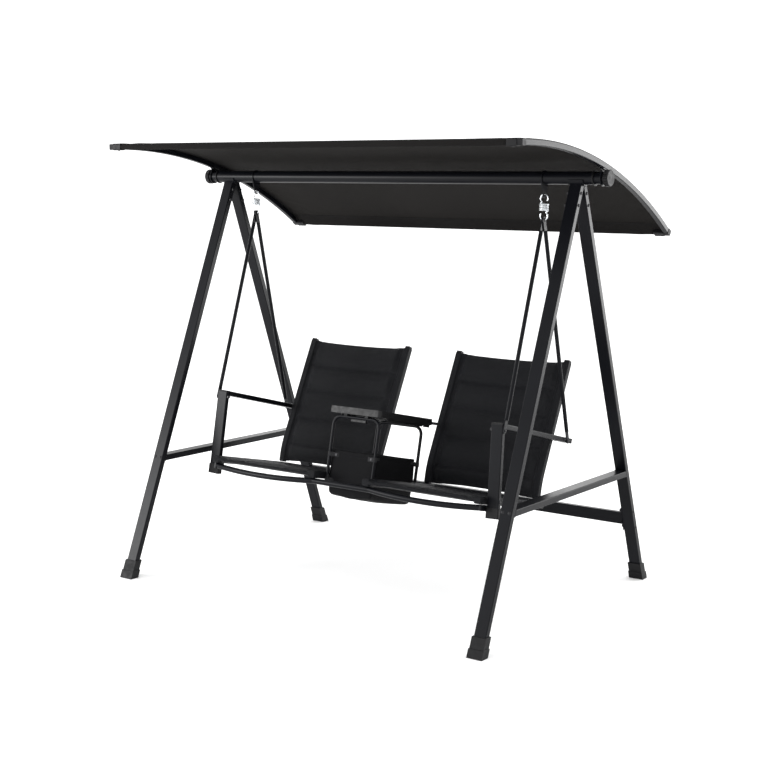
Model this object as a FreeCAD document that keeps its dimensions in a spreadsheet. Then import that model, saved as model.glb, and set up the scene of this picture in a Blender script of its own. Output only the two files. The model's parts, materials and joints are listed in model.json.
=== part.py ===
import FreeCAD, Part
import math
import os

Vec = FreeCAD.Vector
Turn = FreeCAD.Rotation
Place = FreeCAD.Placement

# Driving dimensions of the porch swing, in millimetres and degrees.
SIZES = {
    # Stand
    "beam_height": 1680, "beam_radius": 25, "beam_wall": 2, "beam_half": 925,
    "leg_x": 857, "leg_foot_y": 658, "leg_width": 50, "leg_depth": 25, "leg_wall": 1.5,
    "leg_top_z": 1649, "leg_low_z": 8, "corner_round": 3,
    "foot_width": 64, "foot_length": 43, "foot_flange": 32, "foot_height": 72, "foot_sleeve": 4.5,
    "brace_z": 485, "rear_brace_z": 277, "plate_thick": 4, "bolt_radius": 4, "bolt_play": 0.2,
    "hanger_x": 715, "tab_hole_z": 1616, "tab_width": 22, "tab_hole_radius": 6, "tab_collar": 4,
    # Canopy, in its own frame: origin on the beam axis, tilted with canopy_tilt
    "canopy_tilt": 14.8, "arc_radius": 2104, "arc_rise": 58, "arc_half_angle": 17.3,
    "arc_width": 20, "arc_height": 22, "arc_x": 960, "edge_bar_radius": 11, "corner_sleeve": 40,
    "fabric_thick": 2.4, "hub_radius": 23, "hub_length": 34, "hub_plate": 3.4,
    "knob_radius": 31.5, "knob_face_x": 991, "stud_radius": 5,
    # Springs and rods
    "wire_radius": 2.5, "ring_radius": 15.5, "coil_radius": 16, "coil_turns": 4.5,
    "spring_top_z": 1619, "spring_low_z": 1521.5, "rod_radius": 8, "eye_width": 26,
    "bush_bore": 4, "bush_radius": 7, "bush_play": 0.05,
    # Seat, in its own frame: origin under the beam, tilted with seat_tilt
    "seat_tilt": 12, "seat_z": 384, "chair_out": 665, "chair_in": 122,
    "rail_width": 24, "rail_height": 28, "rail_lift": 27, "rail_front": 342, "rail_back": 150,
    "back_foot_y": 104.4, "back_foot_z": 44, "back_top_y": 225.1, "back_top_z": 616,
    "back_slope": 13.6, "back_bend_radius": 350, "front_bar_y": 330, "front_bar_z": -0.7,
    "sleeve": 1.4, "pad_front": 356, "pad_rear": 84, "pad_top": 46,
    "back_pad_front": 19, "back_pad_rear": 6, "bar_radius": 12.5,
    "post_low_x": 697, "post_low_y": -297, "post_low_z": -30,
    "post_top_x": 684, "post_top_y": -324, "post_top_z": 317, "rod_front_z": 296, "rod_rear_y": 171,
    "arm_width": 50, "arm_thick": 20, "arm_front_y": -312, "arm_front_z": 312,
    "arm_back_x": 699, "arm_back_y": 205, "arm_back_z": 297,
    "console_radius": 6.8, "console_x": 113, "console_front": 276, "console_back": 36,
    "console_top": 276, "console_bend": 35, "table_half": 125, "table_front": 299,
    "table_back": 97.5, "table_low": 288, "table_thick": 27,
    "bag_half": 107, "bag_front": 266, "bag_back": 26, "bag_top": 138, "bag_low": -42,
    "bag_low_rear": -52, "bag_sag": 8, "bag_wall": 3,
}

doc = FreeCAD.newDocument("porch_swing")
sheet = doc.addObject("Spreadsheet::Sheet", "Sizes")
for row, (alias, number) in enumerate(SIZES.items(), start=1):
    sheet.set(f"A{row}", alias)
    sheet.set(f"B{row}", str(number))
    sheet.setAlias(f"B{row}", alias)
doc.recompute()


def size(alias):
    """The value of one cell of the sheet."""
    return float(sheet.get(alias))


def bind(item, **expressions):
    """Bind properties to sheet expressions; a word after '@' is a cell."""
    for name, text in expressions.items():
        item.setExpression(name, text.replace("@", "Sizes."))
    item.recompute()
    return item


NODES = {}


def node(name, item, place=None):
    """Keep an object as a named sub-part."""
    item.Label = name
    if place is not None:
        item.Placement = place
    NODES[name] = item
    return item


def at(x=0.0, y=0.0, z=0.0, turn=None):
    return Place(Vec(x, y, z), turn or Turn())


# ---------------------------------------------------------------- basic shapes

def cylinder(radius, length, place=None):
    """Cylinder along local Z from the placement, sizes as expressions."""
    item = doc.addObject("Part::Cylinder", "cylinder")
    bind(item, Radius=radius, Height=length)
    item.Placement = place or Place()
    return item


def block(length, width, height, place=None):
    """Box centred on the placement, sizes as expressions."""
    item = doc.addObject("Part::Box", "block")
    bind(item, Length=length, Width=width, Height=height)
    centre = at(-item.Length.Value / 2, -item.Width.Value / 2, -item.Height.Value / 2)
    item.Placement = (place or Place()) * centre
    return item


def cut(base, *tools):
    item = doc.addObject("Part::Cut", "cut")
    item.Base = base
    item.Tool = tools[0] if len(tools) == 1 else fuse(*tools)
    return item


def fuse(*parts):
    item = doc.addObject("Part::MultiFuse", "fuse")
    item.Shapes = list(parts)
    item.Refine = True
    return item


def group(*parts):
    """Separate solids kept together in one sub-part."""
    item = doc.addObject("Part::Compound", "group")
    item.Links = list(parts)
    return item


def rounded(base, radius=size("corner_round"), direction=Vec(0, 0, 1)):
    """Round a box's four edges along its own direction."""
    base.recompute()
    along = base.Placement.Rotation.multVec(direction)
    edges = []
    for index, edge in enumerate(base.Shape.Edges, start=1):
        tangent = edge.tangentAt(edge.FirstParameter)
        if abs(tangent.dot(along)) > 0.999:
            edges.append((index, radius, radius))
    item = doc.addObject("Part::Fillet", "rounded")
    item.Base = base
    item.Edges = edges
    return item


def between(start, end, up=Vec(1, 0, 0)):
    """Placement at start whose Z points at end and whose X stays near up."""
    along = (end - start).normalize()
    if abs(along.dot(up)) > 0.999:
        up = Vec(0, 1, 0)
    side = (up - along * up.dot(along)).normalize()
    return Place(start, Turn(side, along.cross(side), along, "ZXY"))


def round_bar(radius, start, end):
    item = doc.addObject("Part::Cylinder", "bar")
    bind(item, Radius=radius)
    item.Height = (end - start).Length
    item.Placement = between(start, end)
    return item


def flat_tube(width, depth, wall, start, end, holes=(), up=Vec(1, 0, 0)):
    """Rectangular tube with rounded corners: width is along up, depth across it."""
    length = (end - start).Length
    place = between(start, end, up) * at(0, 0, length / 2)
    outer = rounded(block(width, depth, str(length), place))
    inner = block(f"{width} - 2 * {wall}", f"{depth} - 2 * {wall}", str(length + 20), place)
    return cut(outer, inner, *holes)


def bolt(place, grip, radius="@bolt_radius", nut=True):
    """Dome-headed bolt along local Z: head below 0, nut above the grip."""
    shank = cylinder(radius, str(grip + (9 if nut else 0)), place)
    head = doc.addObject("Part::Sphere", "bolt_head")
    bind(head, Radius=f"2 * {radius}")
    head.Angle1 = -90
    head.Angle2 = -30
    reach = head.Radius.Value
    head.Placement = place * at(0, 0, reach / 2)
    parts = [shank, head]
    if nut:
        hexagon = doc.addObject("Part::Prism", "nut")
        hexagon.Polygon = 6
        bind(hexagon, Circumradius=f"1.9 * {radius}", Height=f"1.6 * {radius}")
        hexagon.Placement = place * at(0, 0, grip)
        parts.append(hexagon)
    return fuse(*parts)


def bolt_hole(place, grip, margin=10):
    return cylinder("@bolt_radius + @bolt_play", str(grip + 2 * margin), place * at(0, 0, -margin))


# ------------------------------------------------------------ PartDesign tools

def new_body(name):
    return doc.addObject("PartDesign::Body", name)


def sketch(body, role, shapes, offset=0.0):
    """Sketch on one of the body's own origin planes, from a list of edges."""
    item = body.newObject("Sketcher::SketchObject", "sketch")
    plane = next(feature for feature in body.Origin.OriginFeatures if feature.Role == role)
    item.AttachmentSupport = [(plane, "")]
    item.MapMode = "FlatFace"
    item.AttachmentOffset = at(0, 0, offset)
    for shape in shapes:
        item.addGeometry(shape, False)
    return item


def outline(*points):
    """Closed polygon for a sketch."""
    corners = [Vec(x, y, 0) for x, y in points]
    return [Part.LineSegment(a, b) for a, b in zip(corners, corners[1:] + corners[:1])]


def ring_line(x, y, radius):
    return [Part.Circle(Vec(x, y, 0), Vec(0, 0, 1), radius)]


def extrude(body, profile, length, kind="Pad", both=True, through=False):
    item = body.newObject("PartDesign::" + kind, kind.lower())
    item.Profile = profile
    item.SideType = "Symmetric" if both else "One side"
    if through:
        item.Type = "ThroughAll"
    else:
        bind(item, Length=length)
    return item


def round_edges(body, feature, radius, keep):
    """Fillet the edges of a feature that keep(edge) picks."""
    doc.recompute()
    names = [f"Edge{i}" for i, edge in enumerate(feature.Shape.Edges, start=1) if keep(edge)]
    item = body.newObject("PartDesign::Fillet", "fillet")
    item.Base = (feature, names)
    item.Radius = radius
    return item


# --------------------------------------------------------------------- stand

BEAM = Vec(0, 0, size("beam_height"))
LEAN = math.atan2(size("leg_foot_y"), size("beam_height"))
SIDES = {"left": -1, "right": 1}
ENDS = {"front": -1, "rear": 1}


def leg_point(side, end, z):
    """Point on a leg's centre line at height z."""
    reach = size("leg_foot_y") * (1 - z / size("beam_height"))
    return Vec(side * size("leg_x"), end * reach, z)


def leg_frame(side, end, z):
    """Frame on the leg: X across, Y through its thin side, Z up along it."""
    return between(leg_point(side, end, z), BEAM + Vec(side * size("leg_x"), 0, 0))


def make_beam():
    turn = Turn(Vec(0, 1, 0), 90)
    outer = cylinder("@beam_radius", "2 * @beam_half", at(-size("beam_half"), 0, size("beam_height"), turn))
    inner = cylinder("@beam_radius - @beam_wall", "2 * @beam_half + 20",
                     at(-size("beam_half") - 10, 0, size("beam_height"), turn))
    node("main_beam", cut(outer, inner))


def make_beam_plugs():
    """Plug in each beam end, with the stud that the tilt knob runs on."""
    plugs = []
    for side in SIDES.values():
        turn = Turn(Vec(0, 1, 0), 90 * side)
        start = at(side * (size("beam_half") - 30), 0, size("beam_height"), turn)
        core = cylinder("@beam_radius - @beam_wall - 0.1", "30", start)
        rim = cylinder("@beam_radius + 4", "4", start * at(0, 0, 30))
        stud = cylinder("@stud_radius", "@hub_length + 17", start * at(0, 0, 34))
        plugs.append(fuse(core, rim, stud))
    node("beam_end_plugs", group(*plugs))


TOP_BOLTS = (28, 76)
TOP_GRIP = size("leg_width")


def top_bolt_places(side, end):
    """Bolt axes near a leg's top, from its outer side face inwards."""
    frame = leg_frame(side, end, size("leg_top_z"))
    for drop in TOP_BOLTS:
        centre = frame.multVec(Vec(0, 0, -drop))
        start = Vec(side * (size("leg_x") + size("leg_width") / 2), centre.y, centre.z)
        yield Place(start, Turn(Vec(0, 1, 0), -90 * side))


def make_leg_brackets():
    """Saddle under the beam with a stub that enters each leg."""
    brackets = []
    clear = size("leg_wall") + 0.3
    for side in SIDES.values():
        saddle_place = at(side * size("leg_x") - 32, 0, size("beam_height"), Turn(Vec(0, 1, 0), 90))
        parts = [cylinder("@beam_radius + 5", "64", saddle_place)]
        holes = []
        for end in ENDS.values():
            low = leg_point(side, end, size("leg_top_z") - 110)
            high = leg_point(side, end, size("beam_height") - 8)
            length = (high - low).Length
            parts.append(block(f"@leg_width - {2 * clear}", f"@leg_depth - {2 * clear}", str(length),
                               between(low, high) * at(0, 0, length / 2)))
            holes += [bolt_hole(place, TOP_GRIP) for place in top_bolt_places(side, end)]
        bore = cylinder("@beam_radius + 0.1", "100", saddle_place * at(0, 0, -18))
        cover = block("100", "100", "60", at(side * size("leg_x"), 0, size("beam_height") + 22))
        brackets.append(cut(fuse(*parts), bore, cover, *holes))
    node("leg_brackets", group(*brackets))


BRACE_BOLT_X = 14


def side_brace_bolt_places(side, end):
    """Two bolts through a leg's wide face into the side brace's end plate."""
    outer_face = end * size("leg_depth") / 2
    for offset in (-BRACE_BOLT_X, BRACE_BOLT_X):
        yield leg_frame(side, end, size("brace_z")) * at(offset, outer_face, 0, Turn(Vec(1, 0, 0), 90 * end))


def rear_brace_bolt_places(side):
    """Two bolts through a rear leg's side, above and below the rear brace."""
    for offset in (-38, 38):
        centre = leg_frame(side, 1, size("rear_brace_z")).multVec(Vec(0, 0, offset))
        start = Vec(side * (size("leg_x") + size("leg_width") / 2), centre.y, centre.z)
        yield Place(start, Turn(Vec(0, 1, 0), -90 * side))


def make_legs():
    for side_name, side in SIDES.items():
        for end_name, end in ENDS.items():
            holes = [bolt_hole(place, TOP_GRIP) for place in top_bolt_places(side, end)]
            holes += [bolt_hole(place, size("leg_depth")) for place in side_brace_bolt_places(side, end)]
            if end > 0:
                holes += [bolt_hole(place, TOP_GRIP) for place in rear_brace_bolt_places(side)]
            low = leg_point(side, end, size("leg_low_z"))
            high = leg_point(side, end, size("leg_top_z"))
            node(f"leg_{end_name}_{side_name}",
                 flat_tube("@leg_width", "@leg_depth", "@leg_wall", low, high, holes))


def foot_rim(box):
    """True for an edge of the flange's upper rim or of the sleeve's mouth."""
    wide = size("foot_width") - 0.1
    on_flange = abs(box.ZMin - size("foot_flange")) < 0.1 and box.ZLength < 0.1
    on_mouth = abs(box.ZMin - size("foot_height")) < 0.1
    return on_mouth or (on_flange and (box.XLength > wide or abs(box.XMin) > wide / 2 and box.XLength < 0.1))


def make_foot_caps():
    """Moulded foot: a wide flange on the ground and a sleeve round the leg."""
    caps = []
    slope = size("leg_foot_y") / size("beam_height")
    half = size("foot_length") / 2
    rim = (size("leg_depth") / 2 + size("foot_sleeve")) / math.cos(LEAN)
    for side in SIDES.values():
        for end in ENDS.values():
            body = new_body("foot_cap")
            lift = -end * slope
            flange = size("foot_flange")
            height = size("foot_height")
            base = sketch(body, "YZ_Plane", outline(
                (-half, 0), (half, 0), (half + lift * flange, flange), (-half + lift * flange, flange)))
            extrude(body, base, "@foot_width")
            neck = sketch(body, "YZ_Plane", outline(
                (-rim + lift * 5, 5), (rim + lift * 5, 5), (rim + lift * height, height),
                (-rim + lift * height, height)))
            pad = extrude(body, neck, "@leg_width + 2 * @foot_sleeve")
            round_edges(body, pad, 2, lambda edge: foot_rim(edge.BoundBox))
            socket_half = (size("leg_depth") / 2 + 0.1) / math.cos(LEAN)
            low = size("leg_low_z") - 4.7
            socket = sketch(body, "YZ_Plane", outline(
                (-socket_half + lift * low, low), (socket_half + lift * low, low),
                (socket_half + lift * 90, 90), (-socket_half + lift * 90, 90)))
            extrude(body, socket, "@leg_width + 0.2", "Pocket")
            body.Placement = at(side * size("leg_x"), end * size("leg_foot_y"), 0)
            caps.append(body)
    node("foot_caps", group(*caps))


def make_side_braces():
    """Flat tube between front and rear legs, with a slanted plate at each end."""
    z = size("brace_z")
    slope = math.tan(LEAN)
    reach = size("leg_foot_y") * (1 - z / size("beam_height")) - size("leg_depth") / 2 / math.cos(LEAN)
    plate = size("plate_thick") / math.cos(LEAN)
    half = size("leg_depth") / 2
    for name, side in SIDES.items():
        body = new_body("side_brace")
        inner = reach - plate
        tube = sketch(body, "YZ_Plane", outline(
            (-inner - slope * half, -half), (inner + slope * half, -half),
            (inner - slope * half, half), (-inner + slope * half, half)))
        pad = extrude(body, tube, "@leg_width")
        round_edges(body, pad, 3, lambda edge: edge.Length > 500)
        wall = size("leg_wall")
        hollow = sketch(body, "YZ_Plane", outline(
            (-reach - 50, -half + wall), (reach + 50, -half + wall), (reach + 50, half - wall),
            (-reach - 50, half - wall)))
        extrude(body, hollow, "@leg_width - 2 * @leg_wall", "Pocket")
        for end in ENDS.values():
            tall = half + 1
            plate_profile = sketch(body, "YZ_Plane", outline(
                (end * (reach + slope * tall), -tall), (end * (reach - slope * tall), tall),
                (end * (reach - plate - slope * tall), tall), (end * (reach - plate + slope * tall), -tall)))
            extrude(body, plate_profile, "@leg_width")
        body.Placement = at(side * size("leg_x"), 0, z)
        holes = []
        for end in ENDS.values():
            holes += [bolt_hole(place, size("leg_depth")) for place in side_brace_bolt_places(side, end)]
        node(f"side_brace_{name}", cut(body, *holes))


def make_rear_brace():
    """Tube between the rear legs, with a long plate against each leg's side."""
    z = size("rear_brace_z")
    y = leg_point(1, 1, z).y
    inner_x = size("leg_x") - size("leg_width") / 2
    plate = size("plate_thick")
    start = Vec(-inner_x + plate, y, z)
    end = Vec(inner_x - plate, y, z)
    tube = flat_tube("@leg_width", "@leg_depth", "@leg_wall", start, end, up=Vec(0, 0, 1))
    plates = []
    holes = []
    for side in SIDES.values():
        frame = leg_frame(side, 1, z)
        place = Place(Vec(side * (inner_x - plate / 2), y, z), frame.Rotation)
        plates.append(block("@plate_thick", "@leg_depth + 2", "104", place))
        holes += [bolt_hole(bolt_place, TOP_GRIP) for bolt_place in rear_brace_bolt_places(side)]
    node("rear_brace", cut(fuse(tube, *plates), *holes))


def make_hanger_tabs():
    """Plate welded round the beam, tapering to the eye that a spring hooks into."""
    tabs = []
    drop = size("beam_height") - size("tab_hole_z")
    collar = size("beam_radius") + size("tab_collar")
    tip = size("tab_width") / 2
    lean = math.asin((collar - tip) / drop)
    side_y, side_z = math.cos(lean), -math.sin(lean)
    for side in SIDES.values():
        body = new_body("hanger_tab")
        extrude(body, sketch(body, "YZ_Plane", ring_line(0, 0, collar)), "@plate_thick")
        extrude(body, sketch(body, "YZ_Plane", ring_line(0, -drop, tip)), "@plate_thick")
        taper = outline((-collar * side_y, collar * side_z), (-tip * side_y, -drop + tip * side_z),
                        (tip * side_y, -drop + tip * side_z), (collar * side_y, collar * side_z))
        extrude(body, sketch(body, "YZ_Plane", taper), "@plate_thick")
        for z, radius in ((0, size("beam_radius") + 0.05), (-drop, size("tab_hole_radius"))):
            extrude(body, sketch(body, "YZ_Plane", ring_line(0, z, radius)), "@plate_thick + 2", "Pocket")
        body.Placement = at(side * size("hanger_x"), 0, size("beam_height"))
        tabs.append(body)
    node("hanger_tabs", group(*tabs))


def make_stand_bolts():
    top = []
    brace = []
    for side in SIDES.values():
        for end in ENDS.values():
            top += [bolt(place, TOP_GRIP) for place in top_bolt_places(side, end)]
            grip = size("leg_depth") + size("plate_thick")
            brace += [bolt(place, grip, nut=False) for place in side_brace_bolt_places(side, end)]
        grip = TOP_GRIP + size("plate_thick")
        brace += [bolt(place, grip) for place in rear_brace_bolt_places(side)]
    node("leg_bolts", group(*top))
    node("brace_bolts", group(*brace))


# -------------------------------------------------------------------- canopy

CANOPY = Place(BEAM, Turn(Vec(1, 0, 0), -size("canopy_tilt")))
ARC_CENTRE = size("arc_rise") - size("arc_radius")


def on_arc(radius, angle, x=0.0):
    """Point of the canopy's curve, in world axes; angle from its crown, rear positive."""
    turn = math.radians(angle)
    return CANOPY.multVec(Vec(x, radius * math.sin(turn), ARC_CENTRE + radius * math.cos(turn)))


def arc_bar(name, x, width, inner, outer, half_angle):
    """Rectangle swept along the canopy's curve."""
    body = new_body(name)
    profile = sketch(body, "XZ_Plane", outline(
        (x - width / 2, inner), (x + width / 2, inner), (x + width / 2, outer), (x - width / 2, outer)))
    turned = body.newObject("PartDesign::Revolution", "arc")
    turned.Profile = profile
    turned.ReferenceAxis = (profile, ["H_Axis"])
    turned.Midplane = True
    turned.Angle = 2 * half_angle
    body.Placement = CANOPY * at(0, 0, ARC_CENTRE)
    return body, turned


TUBE_OUT = size("arc_radius") - size("fabric_thick") - 0.3
TUBE_MID = TUBE_OUT - size("arc_height") / 2


def make_canopy_arcs():
    for name, side in SIDES.items():
        inner = TUBE_OUT - size("arc_height")
        body, turned = arc_bar("arc_tube", side * size("arc_x"), size("arc_width"), inner, TUBE_OUT,
                               size("arc_half_angle") - 0.35)
        round_edges(body, turned, 3, lambda edge: edge.Length > 500)
        wall = 1.5
        hollow, _ = arc_bar("arc_hollow", side * size("arc_x"), size("arc_width") - 2 * wall,
                            inner + wall, TUBE_OUT - wall, size("arc_half_angle") + 1)
        node(f"canopy_arc_{name}", cut(body, hollow))


def make_canopy_bars():
    reach = size("arc_x") - size("arc_width") / 2 - 2
    for name, end in ENDS.items():
        angle = end * size("arc_half_angle")
        start = on_arc(TUBE_MID, angle, -reach)
        finish = on_arc(TUBE_MID, angle, reach)
        outer = round_bar("@edge_bar_radius", start, finish)
        inner = round_bar("@edge_bar_radius - 1.5", start, finish)
        node(f"canopy_bar_{name}", cut(outer, inner))


SLEEVE_HALF = size("edge_bar_radius") + 3


def corner_frames():
    """Side and frame of each canopy corner: X along the beam, Z out of the canopy's curve."""
    for side in SIDES.values():
        for end in ENDS.values():
            angle = end * size("arc_half_angle")
            centre = on_arc(TUBE_MID, angle, side * size("arc_x"))
            yield side, Place(centre, CANOPY.Rotation.multiply(Turn(Vec(1, 0, 0), -angle)))


def make_corner_joints():
    """Moulded elbow that joins an arc tube to an edge bar, with a bolt below."""
    joints = []
    bolts = []
    for side, frame in corner_frames():
        shell = rounded(block("@arc_width + 3", "@arc_width + 4", "@arc_height + 2", frame), 4,
                        Vec(1, 0, 0))
        middle = -side * (size("arc_width") / 2 + 1.5 + size("corner_sleeve") / 2)
        sleeve = rounded(block("@corner_sleeve", f"2 * {SLEEVE_HALF}", f"2 * {SLEEVE_HALF}",
                               frame * at(middle, 0, 0)), 4, Vec(1, 0, 0))
        bore = round_bar("@edge_bar_radius + 0.1", frame.multVec(Vec(-side * 11.9, 0, 0)),
                         frame.multVec(Vec(-side * 80, 0, 0)))
        spigot = round_bar("@edge_bar_radius - 1.7", frame.multVec(Vec(-side * 5, 0, 0)),
                           frame.multVec(Vec(-side * 45, 0, 0)))
        joints.append(fuse(cut(fuse(shell, sleeve), bore), spigot))
        below = frame * at(middle, 0, -SLEEVE_HALF - 0.3)
        bolts.append(bolt(below, 0.2, "2.5", nut=False))
    node("canopy_corner_joints", group(*joints))
    node("canopy_corner_bolts", group(*bolts))


def make_canopy_fabric():
    """One curved sheet, with a hem round the front and rear bars."""
    skin, _ = arc_bar("canopy_skin", 0, 2 * (size("arc_x") + size("arc_width") / 2 - 1),
                      size("arc_radius") - size("fabric_thick"), size("arc_radius"),
                      size("arc_half_angle"))
    parts = [skin]
    holes = []
    reach = size("arc_x") - size("arc_width") / 2 - size("corner_sleeve") - 4
    for end in ENDS.values():
        angle = end * size("arc_half_angle")
        start = on_arc(TUBE_MID, angle, -reach)
        finish = on_arc(TUBE_MID, angle, reach)
        parts.append(round_bar("@edge_bar_radius + 0.3 + @fabric_thick", start, finish))
        beyond = (finish - start).normalize() * 70
        holes.append(round_bar("@edge_bar_radius + 0.3", start - beyond, finish + beyond))
    for side, frame in corner_frames():
        holes.append(block("@arc_width + 3.6", "60", "@arc_height + 3", frame))
        middle = -side * (size("arc_width") + size("corner_sleeve")) / 2
        holes.append(block("@corner_sleeve + 6", f"2 * {SLEEVE_HALF} + 1", f"2 * {SLEEVE_HALF} + 1",
                           frame * at(middle, 0, 0)))
    node("canopy_fabric", cut(fuse(*parts), *holes))


HUB_IN = size("beam_half") + 4.3
HUB_OUT = HUB_IN + size("hub_length")


def make_canopy_brackets():
    """Hub that turns on the beam end's stud, with a plate up to the arc tube."""
    for name, side in SIDES.items():
        body = new_body("canopy_bracket")
        low = 30
        top = size("arc_rise") - size("arc_height") - size("fabric_thick") - 0.8
        lines = outline((-low, 0), (low, 0), (24, top), (-24, top))
        lines[0] = Part.ArcOfCircle(Part.Circle(Vec(0, 0, 0), Vec(0, 0, 1), low), math.pi, 2 * math.pi)
        extrude(body, sketch(body, "YZ_Plane", lines), "@hub_plate")
        lug = sketch(body, "YZ_Plane", outline((-24, top - 3), (24, top - 3), (24, top), (-24, top)))
        extrude(body, lug, "16")
        offset = side * ((HUB_IN + HUB_OUT) / 2 - size("arc_x"))
        barrel = sketch(body, "YZ_Plane", ring_line(0, 0, size("hub_radius")), offset=offset)
        extrude(body, barrel, "@hub_length")
        hole = sketch(body, "YZ_Plane", ring_line(0, 0, size("stud_radius") + 0.06))
        extrude(body, hole, "100", "Pocket")
        node(f"canopy_bracket_{name}", body,
             Place(CANOPY.multVec(Vec(side * size("arc_x"), 0, 0)), CANOPY.Rotation))


def make_tilt_knobs():
    """Ribbed hand knob on each stud; it clamps the canopy's hub against the beam's end."""
    for name, side in SIDES.items():
        body = new_body("tilt_knob")
        rim = size("knob_radius")
        start = HUB_OUT + 0.4
        face = size("knob_face_x") - start
        bore = size("stud_radius") + 0.06
        depth = 18
        profile = sketch(body, "XZ_Plane", outline(
            (bore, 0), (20, 0), (21, 5), (rim - 2, 7), (rim, 10), (rim, face - 3), (rim - 3, face),
            (0, face), (0, depth), (bore, depth)))
        turned = body.newObject("PartDesign::Revolution", "knob")
        turned.Profile = profile
        turned.ReferenceAxis = (profile, ["V_Axis"])
        turned.Angle = 360
        doc.recompute()
        flute = sketch(body, "XY_Plane", ring_line(rim + 3, 0, 5))
        pocket = extrude(body, flute, "5", "Pocket", through=True)
        pocket.Midplane = True
        pattern = body.newObject("PartDesign::PolarPattern", "flutes")
        pattern.Originals = [pocket]
        pattern.Axis = (flute, ["N_Axis"])
        pattern.Angle = 360
        pattern.Occurrences = 12
        body.Tip = pattern
        node(f"tilt_knob_{name}", body,
             at(side * start, 0, size("beam_height"), Turn(Vec(0, 1, 0), 90 * side)))


# ----------------------------------------------------------- springs and rods

COIL_HALF = 14.0


def hook_pieces(up):
    """Crossing wire and open ring of one spring hook, in the XZ plane; up is 1 or -1."""
    wire = size("wire_radius")
    ring = size("ring_radius")
    centre_z = (size("spring_top_z") - size("spring_low_z")) / 2 - ring
    start = Vec(-up * size("coil_radius"), 0, up * COIL_HALF)
    points = []
    for angle in (235, 100, -35):
        turn = math.radians(angle)
        points.append(Vec(up * ring * math.cos(turn), 0, up * (centre_z + ring * math.sin(turn))))
    arc = Part.Wire([Part.Arc(*points).toShape()])
    section = Part.Wire(Part.makeCircle(wire, points[0], arc.Edges[0].tangentAt(0)))
    riser = points[0] - start
    return [Part.makeCylinder(wire, riser.Length, start, riser),
            Part.makeSphere(wire * 1.01, start), Part.makeSphere(wire * 1.01, points[0]),
            arc.makePipeShell([section], True, False)]


def make_springs():
    """Zinc coil spring with an open ring at each end."""
    middle = (size("spring_top_z") + size("spring_low_z")) / 2
    pitch = 2 * COIL_HALF / size("coil_turns")
    start = Vec(size("coil_radius"), 0, -COIL_HALF)
    helix = Part.makeHelix(pitch, 2 * COIL_HALF, size("coil_radius"))
    helix.Placement = at(0, 0, -COIL_HALF)
    section = Part.Wire(Part.makeCircle(size("wire_radius"), start, Vec(0, 1, 0)))
    coil = Part.Wire(helix.Edges).makePipeShell([section], True, True)
    shape = coil.fuse(hook_pieces(1) + hook_pieces(-1))
    for name, side in SIDES.items():
        item = doc.addObject("Part::Feature", "spring")
        item.Shape = shape
        node(f"spring_{name}", item, at(side * size("hanger_x"), 0, middle))


EYE_GAP = 2.3


def make_hanger_bushes():
    bushes = []
    for side in SIDES.values():
        start = at(side * size("hanger_x") - 5.5, 0, size("spring_low_z"), Turn(Vec(0, 1, 0), 90))
        sleeve = cylinder("@bush_radius", "11", start)
        bore = cylinder("@bush_bore", "13", start * at(0, 0, -1))
        bushes.append(cut(sleeve, bore))
    node("hanger_bushes", group(*bushes))


SEAT = Place(Vec(0, 0, size("seat_z")), Turn(Vec(1, 0, 0), -size("seat_tilt")))


def in_seat(x, y, z):
    return SEAT.multVec(Vec(x, y, z))


def line_point(start, end, axis, value):
    """Point of a line at a given value of one coordinate."""
    share = (value - getattr(start, axis)) / (getattr(end, axis) - getattr(start, axis))
    return start + (end - start) * share


POST_LOW = Vec(size("post_low_x"), size("post_low_y"), size("post_low_z"))
POST_TOP = Vec(size("post_top_x"), size("post_top_y"), size("post_top_z"))
ARM_FRONT = Vec(size("post_top_x"), size("arm_front_y"), size("arm_front_z"))
ARM_BACK = Vec(size("arm_back_x"), size("arm_back_y"), size("arm_back_z"))
ARM_HALF = size("arm_width") / 2
FOOT_PLATE = 4


def rod_feet():
    """Centre of each rod's flat foot in the seat's frame, on the right-hand side."""
    out = Vec(ARM_HALF + 0.7 + FOOT_PLATE / 2, 0, 0)
    return {"front": line_point(POST_LOW, POST_TOP, "z", size("rod_front_z")) + out,
            "rear": line_point(ARM_FRONT, ARM_BACK, "y", size("rod_rear_y")) + out - Vec(0, 0, 3)}


def make_hanger_rods():
    """Tube with a flattened eye at the top and a flattened foot at the armrest."""
    turn_x = Turn(Vec(0, 1, 0), 90)
    for side_name, side in SIDES.items():
        for end_name, end in ENDS.items():
            eye = Vec(side * size("hanger_x") + end * EYE_GAP, 0, size("spring_low_z"))
            foot_point = rod_feet()[end_name]
            foot = in_seat(side * foot_point.x, foot_point.y, foot_point.z)
            along = (foot - eye).normalize()
            tube_top = eye + along * 44
            tube_low = foot - along * 40
            tube = cut(round_bar("@rod_radius", tube_top, tube_low),
                       round_bar("@rod_radius - 1.2", tube_top, tube_low))
            parts = [tube]
            for tip, tube_end, width, disc in ((eye, tube_top, "@eye_width - 6", "@eye_width / 2"),
                                               (foot, tube_low, "20", "11")):
                length = (tube_end - tip).Length
                frame = between(tip, tube_end)
                parts.append(cylinder(disc, str(FOOT_PLATE), frame * at(-FOOT_PLATE / 2, 0, 0, turn_x)))
                parts.append(block(str(FOOT_PLATE), width, str(length + 6), frame * at(0, 0, length / 2 + 3)))
            bore = cylinder("@bush_radius + @bush_play", "6", Place(eye - Vec(3, 0, 0), turn_x))
            hole = cylinder("@bolt_radius + @bolt_play", "6", Place(foot - Vec(3, 0, 0), turn_x))
            node(f"hanger_rod_{end_name}_{side_name}", cut(fuse(*parts), bore, hole))


# ---------------------------------------------------------------------- seat

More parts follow.
